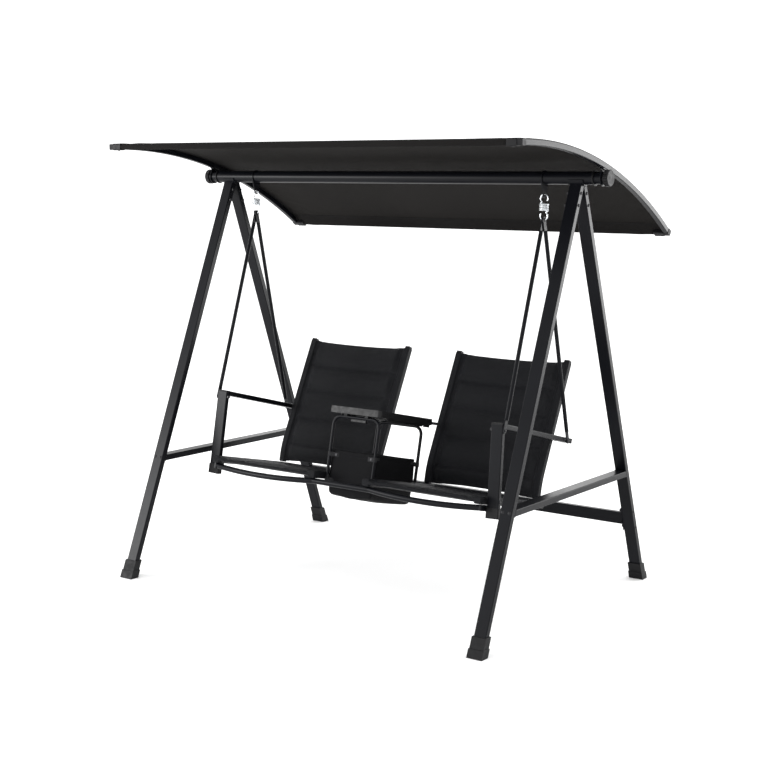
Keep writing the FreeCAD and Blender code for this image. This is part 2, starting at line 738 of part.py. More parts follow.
def seat_bolt_place(side, x, y, z):
    """Bolt axis from an outer face inwards, in the seat's frame."""
    return SEAT * Place(Vec(side * x, y, z), Turn(Vec(0, 1, 0), -90 * side))


BACK_SLOPE = math.radians(size("back_slope"))
BACK_BEND = (size("back_top_z") - (size("back_top_y") - size("back_foot_y")) / math.tan(BACK_SLOPE)
             - size("back_bend_radius") * math.tan(BACK_SLOPE / 2))


def back_point(z, depth=0.0):
    """Point (y, z) level with z on a back rail's straight part, depth behind its centre line."""
    y = size("back_top_y") - (size("back_top_z") - z) * math.tan(BACK_SLOPE)
    return y + depth * math.cos(BACK_SLOPE), z - depth * math.sin(BACK_SLOPE)


def back_sweep(body, x, width, front, rear, low, trim, kind="Additive"):
    """Rectangle swept up the back's bent line, in the seat's frame."""
    foot_y = size("back_foot_y")
    radius = size("back_bend_radius")
    bend_top = (foot_y + radius * (1 - math.cos(BACK_SLOPE)), BACK_BEND + radius * math.sin(BACK_SLOPE))
    top = (size("back_top_y") - trim * math.sin(BACK_SLOPE), size("back_top_z") - trim * math.cos(BACK_SLOPE))
    bend = Part.Circle(Vec(foot_y + radius, BACK_BEND, 0), Vec(0, 0, 1), radius)
    path = sketch(body, "YZ_Plane", [
        Part.LineSegment(Vec(foot_y, low, 0), Vec(foot_y, BACK_BEND, 0)),
        Part.ArcOfCircle(bend, math.pi - BACK_SLOPE, math.pi),
        Part.LineSegment(Vec(*bend_top, 0), Vec(*top, 0))])
    profile = sketch(body, "XY_Plane", outline(
        (x - width / 2, foot_y - front), (x + width / 2, foot_y - front), (x + width / 2, foot_y + rear),
        (x - width / 2, foot_y + rear)), offset=low)
    pipe = body.newObject(f"PartDesign::{kind}Pipe", "back_sweep")
    pipe.Profile = profile
    pipe.Spine = (path, ["Edge1", "Edge2", "Edge3"])
    body.Tip = pipe
    doc.recompute()
    return pipe


def arm_bolt_places(side):
    """Bolts through post, armrest and rods: axis, grip and the face they leave towards the rail."""
    low = size("rail_lift")
    into_rail = 5 - size("chair_out")
    post = line_point(POST_LOW, POST_TOP, "z", low)
    front, rear = (rod_feet()[end] for end in ENDS)
    post_inner = line_point(POST_LOW, POST_TOP, "z", front.z).x - ARM_HALF
    rod_inner = line_point(ARM_FRONT, ARM_BACK, "y", rear.y).x - ARM_HALF
    arm = line_point(ARM_FRONT, ARM_BACK, "y", back_point(size("arm_back_z"))[0])
    places = {}
    for name, foot, inner in (("rod_front", front, post_inner), ("rod_rear", rear, rod_inner)):
        start = foot.x + FOOT_PLATE / 2 + 0.2
        places[name] = (seat_bolt_place(side, start, foot.y, foot.z), start - inner + 0.5, None)
    for name, centre, z in (("post", post, low), ("arm_rear", arm, arm.z)):
        start = centre.x + ARM_HALF + 0.4
        places[name] = (seat_bolt_place(side, start, centre.y, z), start + into_rail, centre.x - ARM_HALF)
    return places


def arm_holes(side, *names):
    places = arm_bolt_places(side)
    return [bolt_hole(places[name][0], places[name][1]) for name in names]


def make_arms():
    caps = []
    for name, side in SIDES.items():
        low, high, front, back = (in_seat(side * point.x, point.y, point.z)
                                  for point in (POST_LOW, POST_TOP, ARM_FRONT, ARM_BACK))
        node(f"armrest_{name}", flat_tube("@arm_width", "@arm_thick", "@leg_wall", front, back,
                                          arm_holes(side, "rod_rear", "arm_rear")))
        node(f"arm_post_{name}", flat_tube("@arm_width", "@arm_thick", "@leg_wall", low, high,
                                           arm_holes(side, "post", "rod_front")))
        frame = between(low, high)
        shell = rounded(block("@arm_width + 6", "@arm_thick + 6", "40", frame * at(0, 0, 14)), 4)
        socket = block("@arm_width + 0.2", "@arm_thick + 0.2", "60", frame * at(0, 0, 29.9))
        caps.append(cut(shell, socket, *arm_holes(side, "post")))
        for inner_end, outer_end in ((low, high), (front, back)):
            end_frame = between(outer_end, inner_end)
            caps.append(rounded(block("@arm_width + 1", "@arm_thick + 1", "6", end_frame * at(0, 0, -3.1))))
    node("arm_end_caps", group(*caps))


def chair_rail_xs(side):
    half = size("rail_width") / 2
    return side * (size("chair_in") + half), side * (size("chair_out") - half)


def make_chair_rails():
    caps = []
    for name, side in SIDES.items():
        seat_rails = []
        back_rails = []
        for x in chair_rail_xs(side):
            outer = abs(x) > 400
            lift = size("rail_lift")
            front = in_seat(x, -size("rail_front"), lift)
            rear = in_seat(x, size("rail_back"), lift)
            holes = arm_holes(side, "post") if outer else console_holes(side)
            seat_rails.append(flat_tube("@rail_width", "@rail_height", "@leg_wall", front, rear, holes))
            body = new_body("back_rail")
            half = size("rail_width") / 2
            wall = size("leg_wall")
            pipe = back_sweep(body, x, 2 * half, half, half, size("back_foot_z"), 0)
            round_edges(body, pipe, size("corner_round"), lambda edge: edge.Length > size("rail_width") + 1)
            inner = half - wall
            back_sweep(body, x, 2 * inner, inner, inner, size("back_foot_z"), 0, "Subtractive")
            body.Placement = SEAT
            back_rails.append(cut(body, *arm_holes(side, "arm_rear")) if outer else body)
            near_top = in_seat(x, *back_point(size("back_top_z") - 60))
            top = in_seat(x, *back_point(size("back_top_z")))
            for inner_end, outer_end, tall in ((front, rear, "@rail_height"), (near_top, top, "@rail_width")):
                frame = between(inner_end, outer_end)
                length = (outer_end - inner_end).Length
                caps.append(rounded(block("@rail_width", tall, "5", frame * at(0, 0, length + 2.6)), 4))
        node(f"seat_rails_{name}", group(*seat_rails))
        node(f"back_rails_{name}", group(*back_rails))
    node("rail_end_caps", group(*caps))


FRONT_BOW = (22, 12)
FRONT_BAR_INSET = {"outer": 5, "inner": 20}
FRONT_LUG = (12, 52, 23)


def make_front_bars():
    """Bowed bar under the front of each chair, with a lug that carries it under the outer rail."""
    bars = []
    for side in SIDES.values():
        end_y, end_z = -size("front_bar_y"), size("front_bar_z")
        start = Vec(side * (size("chair_out") - FRONT_BAR_INSET["outer"]), end_y, end_z)
        finish = Vec(side * (size("chair_in") + FRONT_BAR_INSET["inner"]), end_y, end_z)
        middle = (start + finish) / 2 - Vec(0, *FRONT_BOW)
        path = Part.Wire([Part.Arc(start, middle, finish).toShape()])
        along = path.Edges[0].tangentAt(path.Edges[0].FirstParameter)
        ring = Part.Wire(Part.makeCircle(size("bar_radius") - 0.7, start, along))
        item = doc.addObject("Part::Feature", "front_bar")
        item.Shape = path.makePipeShell([ring], True, False)
        item.Placement = SEAT
        lug_x = size("chair_out") + size("sleeve") + 0.8 - FRONT_LUG[0] / 2
        lug_place = SEAT * at(side * lug_x, end_y + 13, end_z - 0.3)
        lug = block(*(str(length) for length in FRONT_LUG), lug_place)
        bars.append(fuse(item, rounded(lug)))
    node("seat_front_bars", group(*bars))


BACK_BAR_RADIUS = size("bar_radius") - 4.5
BACK_BARS = {"back_top_bars": back_point(598, 15), "back_low_bars": back_point(182, 17)}


def chair_bar_ends(side, y, z):
    inner = side * (size("chair_in") + size("rail_width") + 0.2)
    outer = side * (size("chair_out") - size("rail_width") - 0.2)
    return in_seat(inner, y, z), in_seat(outer, y, z)


def chair_bars(name, y, z, radius):
    """Straight tube between the two rails of each chair."""
    bars = []
    for side in SIDES.values():
        start, finish = chair_bar_ends(side, y, z)
        bars.append(cut(round_bar(str(radius), start, finish), round_bar(str(radius - 1.5), start, finish)))
    node(name, group(*bars))


def make_chair_bars():
    chair_bars("seat_rear_bars", 128, size("rail_lift") - 4, size("bar_radius") - 4)
    for name, (y, z) in BACK_BARS.items():
        chair_bars(name, y, z, BACK_BAR_RADIUS)


def make_seat_sling(name, side):
    """Pad with a rolled front, wrapped round both seat rails."""
    full = size("chair_out") - size("chair_in") + 2 * size("sleeve")
    middle = side * (size("chair_out") + size("chair_in")) / 2
    front, rear = -size("pad_front"), size("pad_rear")
    low = size("rail_lift") - size("rail_height") / 2 - size("sleeve")
    top = size("pad_top")
    place = SEAT * at(middle, (front + rear) / 2, (low + top) / 2)
    pad = rounded(block(str(full), str(rear - front), str(top - low), place), 8, Vec(1, 0, 0))
    voids = []
    rail_end = -size("rail_front") - 0.2
    for x in chair_rail_xs(side):
        voids.append(block("@rail_width + 0.2", str(rear + 20 - rail_end), "@rail_height + 0.2",
                           SEAT * at(x, (rear + 20 + rail_end) / 2, size("rail_lift"))))
    node(f"seat_sling_{name}", cut(pad, *voids, *console_holes(side), *arm_holes(side, "post")))


def make_back_sling(name, side):
    """Pad between the back rails with a sleeve round each of them."""
    middle = side * (size("chair_out") + size("chair_in")) / 2
    low = size("pad_top") + 1
    body = new_body("back_sling")
    width = size("chair_out") - size("chair_in") - 2 * size("rail_width") - 0.2
    back_sweep(body, middle, width, size("back_pad_front"), size("back_pad_rear"), low, 3)
    wrap = size("rail_width") / 2 + size("sleeve")
    for x in chair_rail_xs(side):
        back_sweep(body, x, 2 * wrap, wrap, wrap, low, 3)
    clear = size("rail_width") / 2 + 0.1
    for x in chair_rail_xs(side):
        back_sweep(body, x, 2 * clear, clear, clear, low - 1, -10, "Subtractive")
    body.Placement = SEAT
    voids = arm_holes(side, "arm_rear")
    for y, z in BACK_BARS.values():
        start, finish = chair_bar_ends(side, y, z)
        voids.append(round_bar(str(BACK_BAR_RADIUS + 0.3), start, finish))
    node(f"back_sling_{name}", cut(body, *voids))


def make_slings():
    """Padded slings as plain closed solids."""
    for name, side in SIDES.items():
        make_seat_sling(name, side)
        make_back_sling(name, side)


# ------------------------------------------------------------------- console

def console_bolt_places(side):
    """Bolts from a U frame's leg outwards into the inner seat rail."""
    start = size("console_x") - size("console_radius") - 0.2
    for y in (-size("console_front"), size("console_back")):
        yield seat_bolt_place(-side, -start, y, size("rail_lift")), size("chair_in") + 5 - start


def console_holes(side):
    return [bolt_hole(place, grip) for place, grip in console_bolt_places(side)]


def make_console_bars():
    """Bars that tie the two chairs together under the console."""
    bars = []
    under = size("chair_in") + 17
    inside = size("chair_in") - size("sleeve") - 0.3
    for reach, radius, y, z in ((under, size("bar_radius") - 0.7, -size("front_bar_y"), size("front_bar_z")),
                                (inside, size("bar_radius") - 1.5, 75, 23)):
        start = in_seat(-reach, y, z)
        finish = in_seat(reach, y, z)
        bars.append(cut(round_bar(str(radius), start, finish), round_bar(str(radius - 1.5), start, finish)))
    node("console_cross_bars", group(*bars))


def make_console_frames():
    """Upside-down U of round tube that carries the table and the bag."""
    x = size("console_x")
    bend = size("console_bend")
    top = size("console_top")
    low = 12
    for name, y in (("front", -size("console_front")), ("rear", size("console_back"))):
        body = new_body("console_frame")
        half = math.pi / 2
        path = sketch(body, "XZ_Plane", [
            Part.LineSegment(Vec(-x, low, 0), Vec(-x, top - bend, 0)),
            Part.ArcOfCircle(Part.Circle(Vec(-x + bend, top - bend, 0), Vec(0, 0, 1), bend), half, 2 * half),
            Part.LineSegment(Vec(-x + bend, top, 0), Vec(x - bend, top, 0)),
            Part.ArcOfCircle(Part.Circle(Vec(x - bend, top - bend, 0), Vec(0, 0, 1), bend), 0, half),
            Part.LineSegment(Vec(x, top - bend, 0), Vec(x, low, 0))])
        profile = sketch(body, "XY_Plane", ring_line(-x, 0, size("console_radius")), offset=low)
        pipe = body.newObject("PartDesign::AdditivePipe", "tube")
        pipe.Profile = profile
        pipe.Spine = (path, [f"Edge{i}" for i in range(1, 6)])
        body.Placement = SEAT * at(0, y, 0)
        node(f"console_frame_{name}", cut(body, *console_holes(-1), *console_holes(1)))


def make_table():
    """Table top with a shallow raised rim, clips on the U frames, catch and stays."""
    body = new_body("table_top")
    half = size("table_half")
    length = size("table_front") + size("table_back")
    slab = sketch(body, "XY_Plane", outline(
        (-half, -length / 2), (half, -length / 2), (half, length / 2), (-half, length / 2)))
    pad = extrude(body, slab, "@table_thick")
    thick = size("table_thick")
    rounding = round_edges(body, pad, 12, lambda edge: abs(edge.BoundBox.ZLength - thick) < 0.1)
    body.Tip = rounding
    doc.recompute()
    rim = 7
    well = sketch(body, "XY_Plane", outline(
        (-half + rim, -length / 2 + rim), (half - rim, -length / 2 + rim), (half - rim, length / 2 - rim),
        (-half + rim, length / 2 - rim)), offset=size("table_thick") / 2)
    extrude(body, well, "4", "Pocket", both=False)
    middle_y = (size("table_back") - size("table_front")) / 2
    body.Placement = SEAT * at(0, middle_y, size("table_low") + size("table_thick") / 2)
    parts = [body]
    tubes = []
    reach = half + 10
    for y in (-size("console_front"), size("console_back")):
        tubes.append(round_bar("@console_radius + 0.4", in_seat(-reach, y, size("console_top")),
                               in_seat(reach, y, size("console_top"))))
    front, back = -size("console_front") + 45, size("table_back") - 12
    for side in SIDES.values():
        skirt = SEAT * at(side * (half - 10), (front + back) / 2, size("table_low") - 5)
        parts.append(block("4", str(back - front), "12", skirt))
    node("table_top", cut(fuse(*parts), *tubes))
    clips = []
    for y in (-size("console_front"), size("console_back")):
        for x in (-52, 52):
            centre = size("console_top")
            strap = block("16", "24", "9", SEAT * at(x, y, size("table_low") - 4.6))
            saddle = round_bar("@console_radius + 0.1", in_seat(x - 12, y, centre),
                               in_seat(x + 12, y, centre))
            clips.append(cut(strap, saddle))
    node("table_clips", group(*clips))
    catch_place = SEAT * at(-4, -size("console_front") + 24, size("table_low") - 15.2)
    node("table_catch", rounded(block("72", "18", "30", catch_place), 3, Vec(1, 0, 0)))
    stays = []
    stay_z = size("table_low") + 10
    stay_y, _ = back_point(stay_z, -18)
    for side in SIDES.values():
        x = side * (size("chair_in") + 8)
        start = in_seat(side * (size("table_half") - 22), size("table_back") + 1.6, stay_z)
        finish = in_seat(x, stay_y, stay_z)
        length = (finish - start).Length
        place = between(start, finish, Vec(0, 0, 1)) * at(0, 0, length / 2)
        stays.append(block("12", "4", str(length), place))
    node("table_stays", group(*stays))


def make_bag():
    """Open storage bag with a sagging floor that drops to the rear, hung between the U frames."""
    half = size("bag_half")
    wall = size("bag_wall")
    top = size("bag_top")
    body = new_body("storage_bag")

    def trough(low, inset):
        side = half - inset
        floor = low + inset
        high = top + (inset and 20)
        left, right = Vec(-side, floor, 0), Vec(side, floor, 0)
        return [Part.Arc(left, Vec(0, floor - size("bag_sag"), 0), right),
                Part.LineSegment(right, Vec(side, high, 0)),
                Part.LineSegment(Vec(side, high, 0), Vec(-side, high, 0)),
                Part.LineSegment(Vec(-side, high, 0), left)]

    for kind, inset in (("Additive", 0), ("Subtractive", wall)):
        loft = body.newObject(f"PartDesign::{kind}Loft", "bag_shell")
        loft.Profile = sketch(body, "XZ_Plane", trough(size("bag_low"), inset),
                              offset=size("bag_front") - inset)
        loft.Sections = [sketch(body, "XZ_Plane", trough(size("bag_low_rear"), inset),
                                offset=inset - size("bag_back"))]
        loft.Ruled = True
        body.Tip = loft
        doc.recompute()
    node("storage_bag", body, SEAT)
    studs = []
    for end_y, facing in ((-size("bag_front"), -1), (size("bag_back"), 1)):
        for x in (-88, 88):
            for z in (117, 12):
                place = SEAT * Place(Vec(x, end_y + facing * 0.2, z), Turn(Vec(1, 0, 0), -90 * facing))
                studs.append(cylinder("5", "2.4", place))
    node("bag_studs", group(*studs))


def make_seat_bolts():
    """Bolts with spacers through posts, armrests, rods and U frame feet."""
    bolts = []
    slack = 0.4
    for side in SIDES.values():
        for place, grip, inner_x in arm_bolt_places(side).values():
            bolts.append(bolt(place, grip, nut=inner_x is None))
            if inner_x is not None:
                gap = inner_x - size("chair_out") - size("sleeve") - 2 * slack
                start = place * at(0, 0, grip - 5 - size("sleeve") - slack - gap)
                bore = cylinder("@bolt_radius + 0.1", str(gap + 4), start * at(0, 0, -2))
                bolts.append(cut(cylinder("9", str(gap), start), bore))
        bolts += [bolt(place, grip, nut=False) for place, grip in console_bolt_places(side)]
    node("seat_bolts", group(*bolts))


make_beam()
make_beam_plugs()
make_leg_brackets()
make_legs()
make_foot_caps()
make_side_braces()
make_rear_brace()
make_hanger_tabs()
make_stand_bolts()
make_canopy_arcs()
make_canopy_bars()
make_corner_joints()
make_canopy_fabric()
make_canopy_brackets()
make_tilt_knobs()
make_springs()
make_hanger_bushes()
make_hanger_rods()
make_arms()
make_chair_rails()
make_front_bars()
make_chair_bars()
make_slings()
make_console_bars()
make_console_frames()
make_table()
make_bag()
make_seat_bolts()

doc.recompute()
for item in doc.Objects:
    if "Invalid" in item.State or "Error" in item.State:
        raise RuntimeError(f"{item.Label} ({item.Name}) did not compute: {item.State}")
for name, item in NODES.items():
    if item.Shape.isNull() or not item.Shape.isValid():
        raise RuntimeError(f"{name} has no valid shape")

os.makedirs("parts", exist_ok=True)
for name, item in NODES.items():
    item.Shape.exportStep(f"parts/{name}.step")
print(len(NODES), "sub-parts written")
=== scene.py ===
import json
import math
import random

import bpy
from mathutils import Matrix, Vector, noise


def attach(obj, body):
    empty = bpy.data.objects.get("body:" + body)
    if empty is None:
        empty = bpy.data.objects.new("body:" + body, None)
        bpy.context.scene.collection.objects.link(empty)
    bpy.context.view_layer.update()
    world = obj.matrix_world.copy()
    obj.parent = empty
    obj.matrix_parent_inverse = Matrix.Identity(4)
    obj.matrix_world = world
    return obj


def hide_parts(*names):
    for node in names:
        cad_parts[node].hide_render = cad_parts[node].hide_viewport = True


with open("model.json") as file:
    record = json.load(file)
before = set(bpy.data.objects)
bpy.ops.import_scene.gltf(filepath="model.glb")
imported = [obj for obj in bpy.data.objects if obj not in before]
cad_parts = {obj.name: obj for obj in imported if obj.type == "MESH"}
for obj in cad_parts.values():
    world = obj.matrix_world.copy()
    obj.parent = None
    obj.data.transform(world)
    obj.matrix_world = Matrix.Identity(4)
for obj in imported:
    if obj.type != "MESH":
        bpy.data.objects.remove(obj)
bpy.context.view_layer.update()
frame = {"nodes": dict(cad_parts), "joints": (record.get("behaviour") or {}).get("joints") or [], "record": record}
NODES = frame["nodes"]
RECORD = frame["record"]
SCENE = bpy.context.scene
SIDES = {"left": -1, "right": 1}

# The seat and the canopy each lie in a frame tilted about X.
SEAT = Matrix.Rotation(math.radians(-12), 4, "X")
CANOPY_TILT = math.radians(14.8)
PIVOT = Vector(next(j["pos_m"] for j in frame["joints"] if j["name"] == "canopy_tilt"))
CANOPY = Matrix.Translation(PIVOT) @ Matrix.Rotation(-CANOPY_TILT, 4, "X")


def local_box(node, place):
    """Lowest and highest corner of a CAD node in a tilted frame."""
    inverse = place.inverted()
    points = [inverse @ v.co for v in NODES[node].data.vertices]
    low = Vector([min(p[i] for p in points) for i in range(3)])
    high = Vector([max(p[i] for p in points) for i in range(3)])
    return low, high


# ----------------------------------------------------------------- materials

class Look:
    """A node material around one Principled shader."""

    def __init__(self, name, color, roughness, **sockets):
        self.material = bpy.data.materials.new(name)
        self.material.use_nodes = True
        self.tree = self.material.node_tree
        self.shader = self.tree.nodes["Principled BSDF"]
        self.shader.inputs["Base Color"].default_value = (*color, 1)
        self.shader.inputs["Roughness"].default_value = roughness
        for socket, value in sockets.items():
            self.shader.inputs[socket.replace("_", " ")].default_value = value
        self.place = self.tree.nodes.new("ShaderNodeTexCoord")

    def node(self, kind, inputs=None, **settings):
        item = self.tree.nodes.new("ShaderNode" + kind)
        for name, value in settings.items():
            setattr(item, name, value)
        for name, value in (inputs or {}).items():
            if isinstance(value, bpy.types.NodeSocket):
                self.tree.links.new(value, item.inputs[name])
            else:
                item.inputs[name].default_value = value
        return item

    def stretched(self, vector, scale, turn=0.0):
        """Coordinates turned about X, then scaled along each axis."""
        return self.node("Mapping", {"Vector": vector, "Scale": scale, "Rotation": (turn, 0, 0)}).outputs[0]

    def grain(self, scale, detail=2.0, vector=None):
        inputs = {"Vector": vector or self.place.outputs["Object"], "Scale": scale, "Detail": detail}
        return self.node("TexNoise", inputs).outputs["Fac"]

    def spread(self, value, low, high, start=0.3, end=0.7):
        """Maps a 0-1 pattern to a range of values."""
        inputs = {"Value": value, "From Min": start, "From Max": end, "To Min": low, "To Max": high}
        return self.node("MapRange", inputs).outputs[0]

    def shades(self, value, dark, light):
        mix = self.node("Mix", data_type="RGBA")
        self.tree.links.new(value, mix.inputs["Factor"])
        mix.inputs["A"].default_value = (0, 0, 0, 1)
        sockets = [s for s in mix.inputs if s.type == "RGBA"]
        for socket, color in zip(sockets, (dark, light)):
            if isinstance(color, bpy.types.NodeSocket):
                self.tree.links.new(color, socket)
            else:
                socket.default_value = (*color, 1)
        return next(s for s in mix.outputs if s.type == "RGBA")

    def color(self, socket):
        self.tree.links.new(socket, self.shader.inputs["Base Color"])

    def roughness(self, socket):
        self.tree.links.new(socket, self.shader.inputs["Roughness"])

    def bump(self, height, distance, strength=1.0, under=None):
        """Adds a relief; distance is its depth in metres."""
        inputs = {"Height": height, "Distance": distance, "Strength": strength}
        if under is not None:
            inputs["Normal"] = under
        normal = self.node("Bump", inputs).outputs["Normal"]
        self.tree.links.new(normal, self.shader.inputs["Normal"])
        return normal

    def edge_mask(self, radius):
        """1 on sharp outer edges and 0 on faces."""
        geometry = self.node("NewGeometry").outputs["Normal"]
        soft = self.node("Bevel", {"Radius": radius}, samples=4).outputs["Normal"]
        dot = self.node("VectorMath", {0: geometry, 1: soft}, operation="DOT_PRODUCT").outputs["Value"]
        return self.spread(dot, 1.0, 0.0, 0.78, 0.99)

    def math(self, operation, a, b=0.0):
        return self.node("Math", {0: a, 1: b}, operation=operation).outputs[0]

    def weave(self, vector, pitch):
        """Height of a plain weave; the vector's X and Y run along the threads, in metres."""
        scaled = self.stretched(vector, (1 / pitch, 1 / pitch, 0))
        threads = []
        for direction in ("X", "Y"):
            wave = self.node("TexWave", {"Vector": scaled, "Scale": math.tau / 20, "Distortion": 0.0},
                             bands_direction=direction)
            threads.append(wave.outputs["Fac"])
        over = self.node("TexChecker", {"Vector": scaled, "Scale": 1.0}).outputs["Fac"]
        mix = self.node("Mix", data_type="FLOAT")
        for name, value in (("Factor", over), ("A", threads[0]), ("B", threads[1])):
            self.tree.links.new(value, mix.inputs[name])
        return mix.outputs[0]


def powder_coat():
    """Satin black powder coat: fine orange peel, with a faint painted highlight along the edges."""
    look = Look("powder_coat", (0.006, 0.0065, 0.008), 0.34, Specular_IOR_Level=0.105)
    cloudy = look.grain(7.0, 3.0)
    base = look.shades(cloudy, (0.0024, 0.0026, 0.0037), (0.0046, 0.0050, 0.0068))
    # Painted highlight: the edges are lightened, broken up by noise, to stand in for rounded corners catching the
    # light.
    painted_edge_highlight = look.math("MULTIPLY", look.edge_mask(0.0012), look.spread(look.grain(55.0, 4.0), 0.15, 0.8))
    look.color(look.shades(painted_edge_highlight, base, (0.030, 0.032, 0.037)))
    look.roughness(look.spread(look.grain(160.0, 3.0), 0.32, 0.365))
    coarse = look.bump(look.grain(650.0, 2.0), 0.00004, 0.35)
    look.bump(look.grain(1500.0, 1.0), 0.00004, 0.4, coarse)
    return look.material


def moulded_plastic(name, color, scale, roughness, specular=0.14):
    """Black polypropylene with a spark-eroded grain."""
    look = Look(name, color, roughness, Specular_IOR_Level=specular)
    lighter = tuple(c * 1.3 for c in color)
    rubbed = look.math("MULTIPLY", look.edge_mask(0.0015), look.spread(look.grain(80.0, 3.0), 0.1, 0.7))
    base = look.shades(look.grain(12.0, 3.0), color, lighter)
    look.color(look.shades(rubbed, base, (0.045, 0.045, 0.048)))
    look.roughness(look.spread(look.grain(60.0, 3.0), roughness - 0.07, roughness + 0.09))
    cells = look.node("TexVoronoi", {"Vector": look.place.outputs["Object"], "Scale": scale})
    pits = look.bump(cells.outputs["Distance"], 0.00022, 0.55)
    look.bump(look.grain(scale * 2.5, 2.0), 0.00008, 0.5, pits)
    return look.material


def zinc_plate():
    """Bright zinc with drawn-wire streaks and a dulled, faintly blue bloom."""
    look = Look("zinc_plate", (0.76, 0.78, 0.80), 0.24, Metallic=1.0)
    bloom = look.grain(90.0, 4.0)
    look.color(look.shades(bloom, (0.60, 0.64, 0.68), (0.86, 0.87, 0.87)))
    look.roughness(look.spread(look.grain(240.0, 3.0), 0.16, 0.40))
    streaks = look.grain(60.0, 2.0, look.stretched(look.place.outputs["Object"], (1, 1, 40)))
    look.bump(streaks, 0.00008, 0.4)
    return look.material


def coated_fastener():
    """Black oxide bolts, polished where a spanner has turned them."""
    look = Look("coated_fastener", (0.012, 0.012, 0.013), 0.38, Metallic=0.35, Specular_IOR_Level=0.3)
    rubbed = look.math("MULTIPLY", look.edge_mask(0.0008), look.spread(look.grain(200.0, 3.0), 0.2, 0.9))
    base = look.shades(look.grain(110.0, 3.0), (0.008, 0.008, 0.009), (0.020, 0.020, 0.022))
    look.color(look.shades(rubbed, base, (0.07, 0.07, 0.075)))
    look.roughness(look.spread(look.grain(300.0, 2.0), 0.32, 0.48))
    look.bump(look.grain(800.0, 2.0), 0.00006, 0.5)
    return look.material


def woven_cloth(name, dark, light, pitch, roughness, slub=0.35, **sockets):
    """Woven cloth laid out by the piece's UV map, whose unit is the metre."""
    look = Look(name, dark, roughness, **sockets)
    flat = look.place.outputs["UV"]
    weave = look.weave(flat, pitch)
    warp = look.grain(1.0, 2.0, look.stretched(flat, (1 / (3 * pitch), 6.0, 1)))
    weft = look.grain(1.0, 2.0, look.stretched(flat, (6.0, 1 / (3 * pitch), 1)))
    uneven = look.math("ADD", look.math("MULTIPLY", warp, 0.5), look.math("MULTIPLY", weft, 0.5))
    shade = look.math("ADD", look.math("MULTIPLY", weave, 1 - slub), look.math("MULTIPLY", uneven, slub))
    faded = look.grain(2.2, 3.0)
    tone = look.math("MULTIPLY", shade, look.spread(faded, 0.78, 1.12))
    look.color(look.shades(tone, dark, light))
    look.roughness(look.spread(uneven, roughness - 0.08, roughness + 0.1))
    rough = look.bump(uneven, pitch * 0.25, 0.5)
    look.bump(weave, pitch * 0.35, 0.8, rough)
    return look.material


def thread():
    look = Look("thread", (0.008, 0.008, 0.009), 0.6, Specular_IOR_Level=0.1)
    twist = look.grain(1.0, 1.0, look.stretched(look.place.outputs["Object"], (900, 900, 900), 0.6))
    look.color(look.shades(twist, (0.005, 0.005, 0.006), (0.014, 0.014, 0.016)))
    look.bump(twist, 0.0002, 0.6)
    return look.material


POWDER = powder_coat()
PLASTIC = moulded_plastic("moulded_plastic", (0.0045, 0.0045, 0.005), 900.0, 0.5)
TABLE_PLASTIC = moulded_plastic("table_plastic", (0.0055, 0.0055, 0.006), 650.0, 0.42, 0.24)
ZINC = zinc_plate()
FASTENER = coated_fastener()
CANOPY_CLOTH = woven_cloth("canopy_cloth", (0.0060, 0.0054, 0.0050), (0.0138, 0.0126, 0.0117), 0.0009, 0.8,
                           Specular_IOR_Level=0.06)
HEM_CLOTH = woven_cloth("hem_cloth", (0.0055, 0.0051, 0.0050), (0.0135, 0.0127, 0.0124), 0.0009, 0.8,
                        Specular_IOR_Level=0.05)
SLING_CLOTH = woven_cloth("sling_cloth", (0.0021, 0.0023, 0.0031), (0.0068, 0.0073, 0.0096), 0.0014, 0.48,
                          Specular_IOR_Level=0.13)
BAG_CLOTH = woven_cloth("bag_cloth", (0.0028, 0.0028, 0.0033), (0.0085, 0.0085, 0.0096), 0.0008, 0.7,
                        Specular_IOR_Level=0.08)
WEBBING = woven_cloth("webbing", (0.008, 0.008, 0.009), (0.026, 0.026, 0.029), 0.0022, 0.6,
                      Specular_IOR_Level=0.2)
THREAD = thread()

SLOT_LOOKS = {"frame": POWDER, "moulded": PLASTIC, "zinc": ZINC, "fastener": FASTENER,
              "canopy_cloth": CANOPY_CLOTH, "sling": SLING_CLOTH, "bag_cloth": BAG_CLOTH}
NODE_LOOKS = {"table_top": TABLE_PLASTIC, "table_catch": TABLE_PLASTIC}


def dress_frame():
    """Gives each CAD node the material of its slot."""
    slots = {part["node"]: part["material_slot"] for part in RECORD["subparts"]}
    for name, item in NODES.items():
        look = NODE_LOOKS.get(name) or SLOT_LOOKS[slots[name]]
        item.data.materials.clear()
        item.data.materials.append(look)


# -------------------------------------------------------------- mesh helpers

def piece(name, verts, faces, look, body, uvs=None):
    """New smooth mesh object that rides on a CAD body; uvs holds one pair a vertex."""
    mesh = bpy.data.meshes.new(name)
    mesh.from_pydata([tuple(v) for v in verts], [], faces)
    if uvs:
        layer = mesh.uv_layers.new(name="flat")
        for loop in mesh.loops:
            layer.data[loop.index].uv = uvs[loop.vertex_index]
    mesh.materials.append(look)
    mesh.polygons.foreach_set("use_smooth", [True] * len(mesh.polygons))
    mesh.update()
    item = bpy.data.objects.new(name, mesh)
    SCENE.collection.objects.link(item)
    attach(item, body)
    return item


def smoothstep(value):
    value = min(max(value, 0.0), 1.0)
    return value * value * (3 - 2 * value)


def grid_faces(columns, rows):
    """Quads of a grid of vertices stored row by row."""
    faces = []
    for j in range(rows - 1):
        for i in range(columns - 1):
            a = j * columns + i
            faces.append((a, a + 1, a + columns + 1, a + columns))
    return faces


